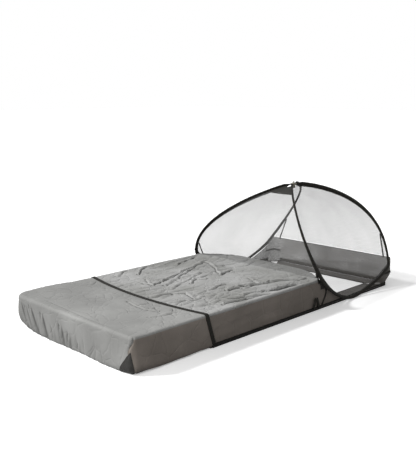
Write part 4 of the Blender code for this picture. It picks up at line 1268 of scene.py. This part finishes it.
# narrow tapes hold the net's legs down to the top cloth and to the head end
def buildLegTies(word, side):
    wide, thick = straps["narrow"], straps["tieThick"]
    leg = [seat(station) for station in stationsOf[word][: hoop["legSteps"]]]
    held = min(leg, key=lambda place: abs(place.z - coverTop - straps["heldAbove"]))
    landX, landY = netX + 0.014, side * (halfWidth - straps["inFromSide"])
    level = coverTop + topFolds(landX, landY) + onCloth
    start = held + Vector((0.006, -side * 0.001, 0))
    foot = smoothPath([start, (landX, landY, level), (landX, landY - side * 0.010, level)], 8)
    makeTie(f"footTie_{word}", foot[::-1], xAxis, wide, thick, word, (f"foot_tie_{word}",))
    low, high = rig.box(f"head_tie_{word}")
    outer, inner = (low.y, high.y) if side < 0 else (high.y, low.y)
    top = Vector((high.x - 0.0006, inner + side * wide / 2, high.z))
    seam = Vector((low.x + 0.0004, outer - side * wide / 2, coverTop + 0.002))
    path = smoothPath([(seam.x, seam.y, low.z), seam, seam.lerp(top, 0.5), top], 6)
    makeTie(f"headTie_{word}", path, yAxis, wide, thick, word, (f"head_tie_{word}",))


for word, side in sides.items():
    buildLegStraps(word, side)
    buildLegTies(word, side)
print("straps done")


# the zip along the near hem

zipper = {"pitch": 0.0022, "tooth": (0.0012, 0.0019, 0.0020), "bevel": 0.0004, "tapeThick": 0.0010,
          "rows": {"lower": (0.0, 0.009, 0.0080), "upper": (0.011, 0.020, 0.0120)}}  # tape from, tape to, teeth


def buildZip():
    lowX, highX = (corner.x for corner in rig.box("zip_tape_lower"))
    face = -(halfWidth + clothWall / 2) - zipper["tapeThick"] / 2
    long, deep = zipper["tooth"][:2]
    for word, (lowZ, highZ, toothZ) in zipper["rows"].items():
        path = between((lowX, face, (lowZ + highZ) / 2), (highX, face, (lowZ + highZ) / 2), 120)
        makeStrap(f"zipTape_{word}", path, zAxis, highZ - lowZ, zipper["tapeThick"], (f"zip_tape_{word}",), zipWeave,
                  slot="zip_tape")
        bm = bmesh.new()
        bmesh.ops.create_cube(bm, size=1.0)
        bmesh.ops.scale(bm, vec=zipper["tooth"], verts=bm.verts)
        bmesh.ops.bevel(bm, geom=bm.edges[:], offset=zipper["bevel"], segments=1, affect="EDGES", profile=0.5,
                        material=-1)
        start = Vector((lowX + long, face - zipper["tapeThick"] / 2 - deep / 2, toothZ))
        bmesh.ops.translate(bm, vec=start, verts=bm.verts)
        teeth = makePiece(f"zipTeeth_{word}", bm, blackCoil, "cover", (), "zip_tape")
        teeth.data.shade_flat()
        row = teeth.modifiers.new("row", "ARRAY")
        row.use_relative_offset = False
        row.use_constant_offset = True
        row.constant_offset_displace = (zipper["pitch"], 0, 0)
        row.count = int((highX - lowX - 2 * long) / zipper["pitch"])


pullRibbon = {"wide": 0.0146, "thick": 0.0024, "inset": 0.0002, "fromEye": 0.014, "tipShort": 0.0015}


# a ribbon sewn round each pull makes it easy to grip
def buildPullRibbon(word):
    pull = frame["nodes"][f"pull_{word}"]
    points = [pull.matrix_world @ vert.co for vert in pull.data.vertices]
    middle = sum(points, Vector()) / len(points)
    gaps = [point - middle for point in points]
    spread = sum(gap.x**2 for gap in gaps) - sum(gap.z**2 for gap in gaps)
    angle = 0.5 * atan2(2 * sum(gap.x * gap.z for gap in gaps), spread)
    along = Vector((cos(angle), 0, sin(angle)))
    if along.z < 0:
        along.negate()
    places = [gap.dot(along) for gap in gaps]
    # its back lies a little inside the pull's own back, so it clears the slider
    back = max(point.y for point, place in zip(points, places) if place > 0)
    middle.y = back - pullRibbon["inset"] - pullRibbon["thick"] / 2
    start = middle + along * (min(places) + pullRibbon["fromEye"])
    end = middle + along * (max(places) - pullRibbon["tipShort"])
    makeStrap(f"pullRibbon_{word}", between(start, end, 10), Vector((along.z, 0, -along.x)), pullRibbon["wide"],
              pullRibbon["thick"], (), body=f"zip_pull_{word}")


buildZip()
for word in ("left", "right"):
    buildPullRibbon(word)
print("zip done")


# the flaps that lie flat beneath, and the elastic in their hem

flaps = {
    "inner": 0.110,
    "footInner": 0.126,
    "ripple": 0.0016,
    "seam": 0.0168,
    "sideInset": 0.0024,
    "sideStarts": {"near": 0.030, "far": 0.064},
    "sideEnd": 0.046,
    "footHalf": 0.424,
    "headHalf": 0.404,
    "headInset": 0.0040,
    "elastic": 0.0018,
    "elasticBend": 0.0144,
    "elasticCut": (4.8, 0.012),
}


def layFlap(word, outer, inner):
    count, length = len(outer) - 1, pathLength(outer)

    def place(u, v):
        i = round(u * count)
        point = outer[i].lerp(inner[i], v)
        wave = lumps(point.x, point.y, 0.05, 8.0) + 0.6 * lumps(point.x + point.y, point.x - point.y, 0.022, 3.0)
        point.z = 0.0006 + flaps["ripple"] * abs(wave) * smoothStep(v / 0.2)
        return point

    bm = cutCloth(count, 8, length, flaps["inner"], place)
    makePiece(f"underFlap_{word}", bm, flapCloth, "cover", (f"under_flap_{word}",), "flap_cloth", clothWall,
              sheet=((flaps["inner"], length), "laid", ["footPocket"]))


def buildFlaps():
    hemY, innerY = halfWidth - flaps["sideInset"], halfWidth - flaps["inner"]
    seamY = halfWidth - flaps["seam"] - 0.0006
    footInner, headInner = footX + flaps["footInner"], headX - flaps["inner"]
    for word, side in sides.items():
        start, end = footX + flaps["sideStarts"][word], headX - flaps["sideEnd"]
        outer = between((start, side * seamY, 0), (tapeX, side * seamY, 0), 34)
        outer += between((tapeX + 0.002, side * hemY, 0), (end, side * hemY, 0), 120)
        count = len(outer) - 1
        inner = [Vector((footInner + (headInner - footInner) * i / count, side * innerY, 0)) for i in range(count + 1)]
        layFlap(word, outer, inner)
    shares = [2 * i / 80 - 1 for i in range(81)]
    hem = [pocketWall(flaps["footHalf"] * share, pocket["wallLength"])[0] for share in shares]
    outer = [Vector((max(point.x, footX + flaps["seam"]), point.y, 0)) for point in hem]
    layFlap("foot", outer, [Vector((footInner, innerY * share, 0)) for share in shares])
    outer = [Vector((headX - flaps["headInset"], flaps["headHalf"] * share, 0)) for share in shares]
    layFlap("head", outer, [Vector((headInner, innerY * share, 0)) for share in shares])


# elastic in its casing round the flaps' inner edges, a little wavy because it gathers them
def buildElastic():
    low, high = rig.box("hem_elastic")
    radius, bend = flaps["elastic"], flaps["elasticBend"]
    middle, half = (high + low) / 2, (high - low) / 2 - Vector((radius + bend, radius + bend, 0))
    arcs = []
    for turn, (signX, signY) in enumerate(((1, 1), (-1, 1), (-1, -1), (1, -1))):
        centre = Vector((middle.x + signX * half.x, signY * half.y, middle.z))
        angles = [pi / 2 * (turn + i / 8) for i in range(9)]
        arcs.append([centre + Vector((cos(angle), sin(angle), 0)) * bend for angle in angles])
    path = []
    for arc, following in zip(arcs, arcs[1:] + arcs[:1]):
        path += arc + between(arc[-1], following[0], 60)[1:-1]
    rings = len(path)

    def place(u, v):
        i = round(u * rings) % rings
        side = (path[(i + 1) % rings] - path[i - 1]).normalized().cross(zAxis)
        angle = 2 * pi * v
        thick = radius * (0.86 + 0.14 * sin(i * 1.3))
        return path[i] + (side * cos(angle) + zAxis * sin(angle)) * thick

    bm = cutCloth(rings, 8, *flaps["elasticCut"], place, sewn=True)
    makePiece("hemElastic", bm, narrowTape, "cover", ("hem_elastic",), "binding")


buildFlaps()
buildElastic()
print("flaps done")


# the metal and plastic pieces keep their own shapes
def finishNodes():
    finishes = {
        springSteel: ("wire_near", "wire_far"),
        darkZinc: ("ferrule_near", "ferrule_far", "zip_stop_foot", "zip_stop_head", "slider_left", "slider_right"),
        blackAcetal: ("pull_left", "pull_right"),
    }
    for material, nodes in finishes.items():
        for node in nodes:
            frame["nodes"][node].material_slots[0].material = material


finishNodes()


# camera, lamps and floor

def placeCamera():
    view = {"place": (-2.7111, -2.53, 1.12), "yaw": 45.7, "pitch": -11.5, "focalPixels": 704, "tall": 474}
    lens = bpy.data.cameras.new("camera")
    lens.lens = view["focalPixels"] / view["tall"] * lens.sensor_width
    camera = addObject("camera", lens)
    camera.location = view["place"]
    camera.rotation_euler = (radians(90 + view["pitch"]), 0, -radians(view["yaw"]))
    bpy.context.scene.camera = camera


# one where the camera or a shiny surface looks, and nought for other light
def seenRays(owner):
    rays = addNode(owner, "LightPath").outputs
    return addNode(owner, "Math", {"operation": "MAXIMUM", 0: rays["Is Camera Ray"], 1: rays["Is Glossy Ray"]})


# White paper that throws little light back on the object, and whose shadow is lightened for the camera.
def addFloor():
    floorSize, shadowGlow = 40, 0.28
    bm = bmesh.new()
    bmesh.ops.create_grid(bm, x_segments=1, y_segments=1, size=floorSize)
    floor = addObject("floor", meshFrom("floor", bm))
    paper = newMaterial("white floor", "#ffffff", 1.0, Specular_IOR_Level=0.0, Emission_Color=(1, 1, 1, 1))
    joinTo(paper, mixColours(paper, seenRays(paper), "#8c8c8c", "#ffffff"), "Base Color")
    cameraRay = addNode(paper, "LightPath").outputs["Is Camera Ray"]
    joinTo(paper, addNode(paper, "MapRange", {"To Max": shadowGlow, "Value": cameraRay}), "Emission Strength")
    floor.data.materials.append(paper)
    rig.stage(floor)


def addLight():
    light = {"sun": 3.3, "softness": 11, "from": (-0.53, 0.52, 0.67), "soft": 15, "size": 0.6, "sky": 0.34,
             "softPlace": (-2.35, -0.80, 1.15), "softAim": (-0.95, -0.1, 0.1)}
    sun = addObject("window", bpy.data.lights.new("window", "SUN"))
    sun.data.energy = light["sun"]
    sun.data.angle = radians(light["softness"])
    sun.rotation_euler = Vector(light["from"]).to_track_quat("Z", "Y").to_euler()
    box = addObject("softbox", bpy.data.lights.new("softbox", "AREA"))
    box.data.energy = light["soft"]
    box.data.size = light["size"]
    box.location = light["softPlace"]
    box.rotation_euler = (box.location - Vector(light["softAim"])).to_track_quat("Z", "Y").to_euler()
    world = bpy.data.worlds.new("studio")
    bpy.context.scene.world = world
    world.use_nodes = True
    strength = addNode(world, "MapRange", {"To Min": light["sky"], "To Max": 1.0, "Value": seenRays(world)})
    sky = world.node_tree.nodes["Background"]
    sky.inputs["Color"].default_value = (1, 1, 1, 1)
    world.node_tree.links.new(strength.outputs[0], sky.inputs["Strength"])
    bpy.context.scene.view_settings.view_transform = "Standard"


placeCamera()
addFloor()
addLight()
print("stage done")

seenLow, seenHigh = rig.bounds()
with open("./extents.json", "w") as sizeFile:
    json.dump({"cad": [list(cadLow), list(cadHigh)], "visual": [list(seenLow), list(seenHigh)]}, sizeFile)
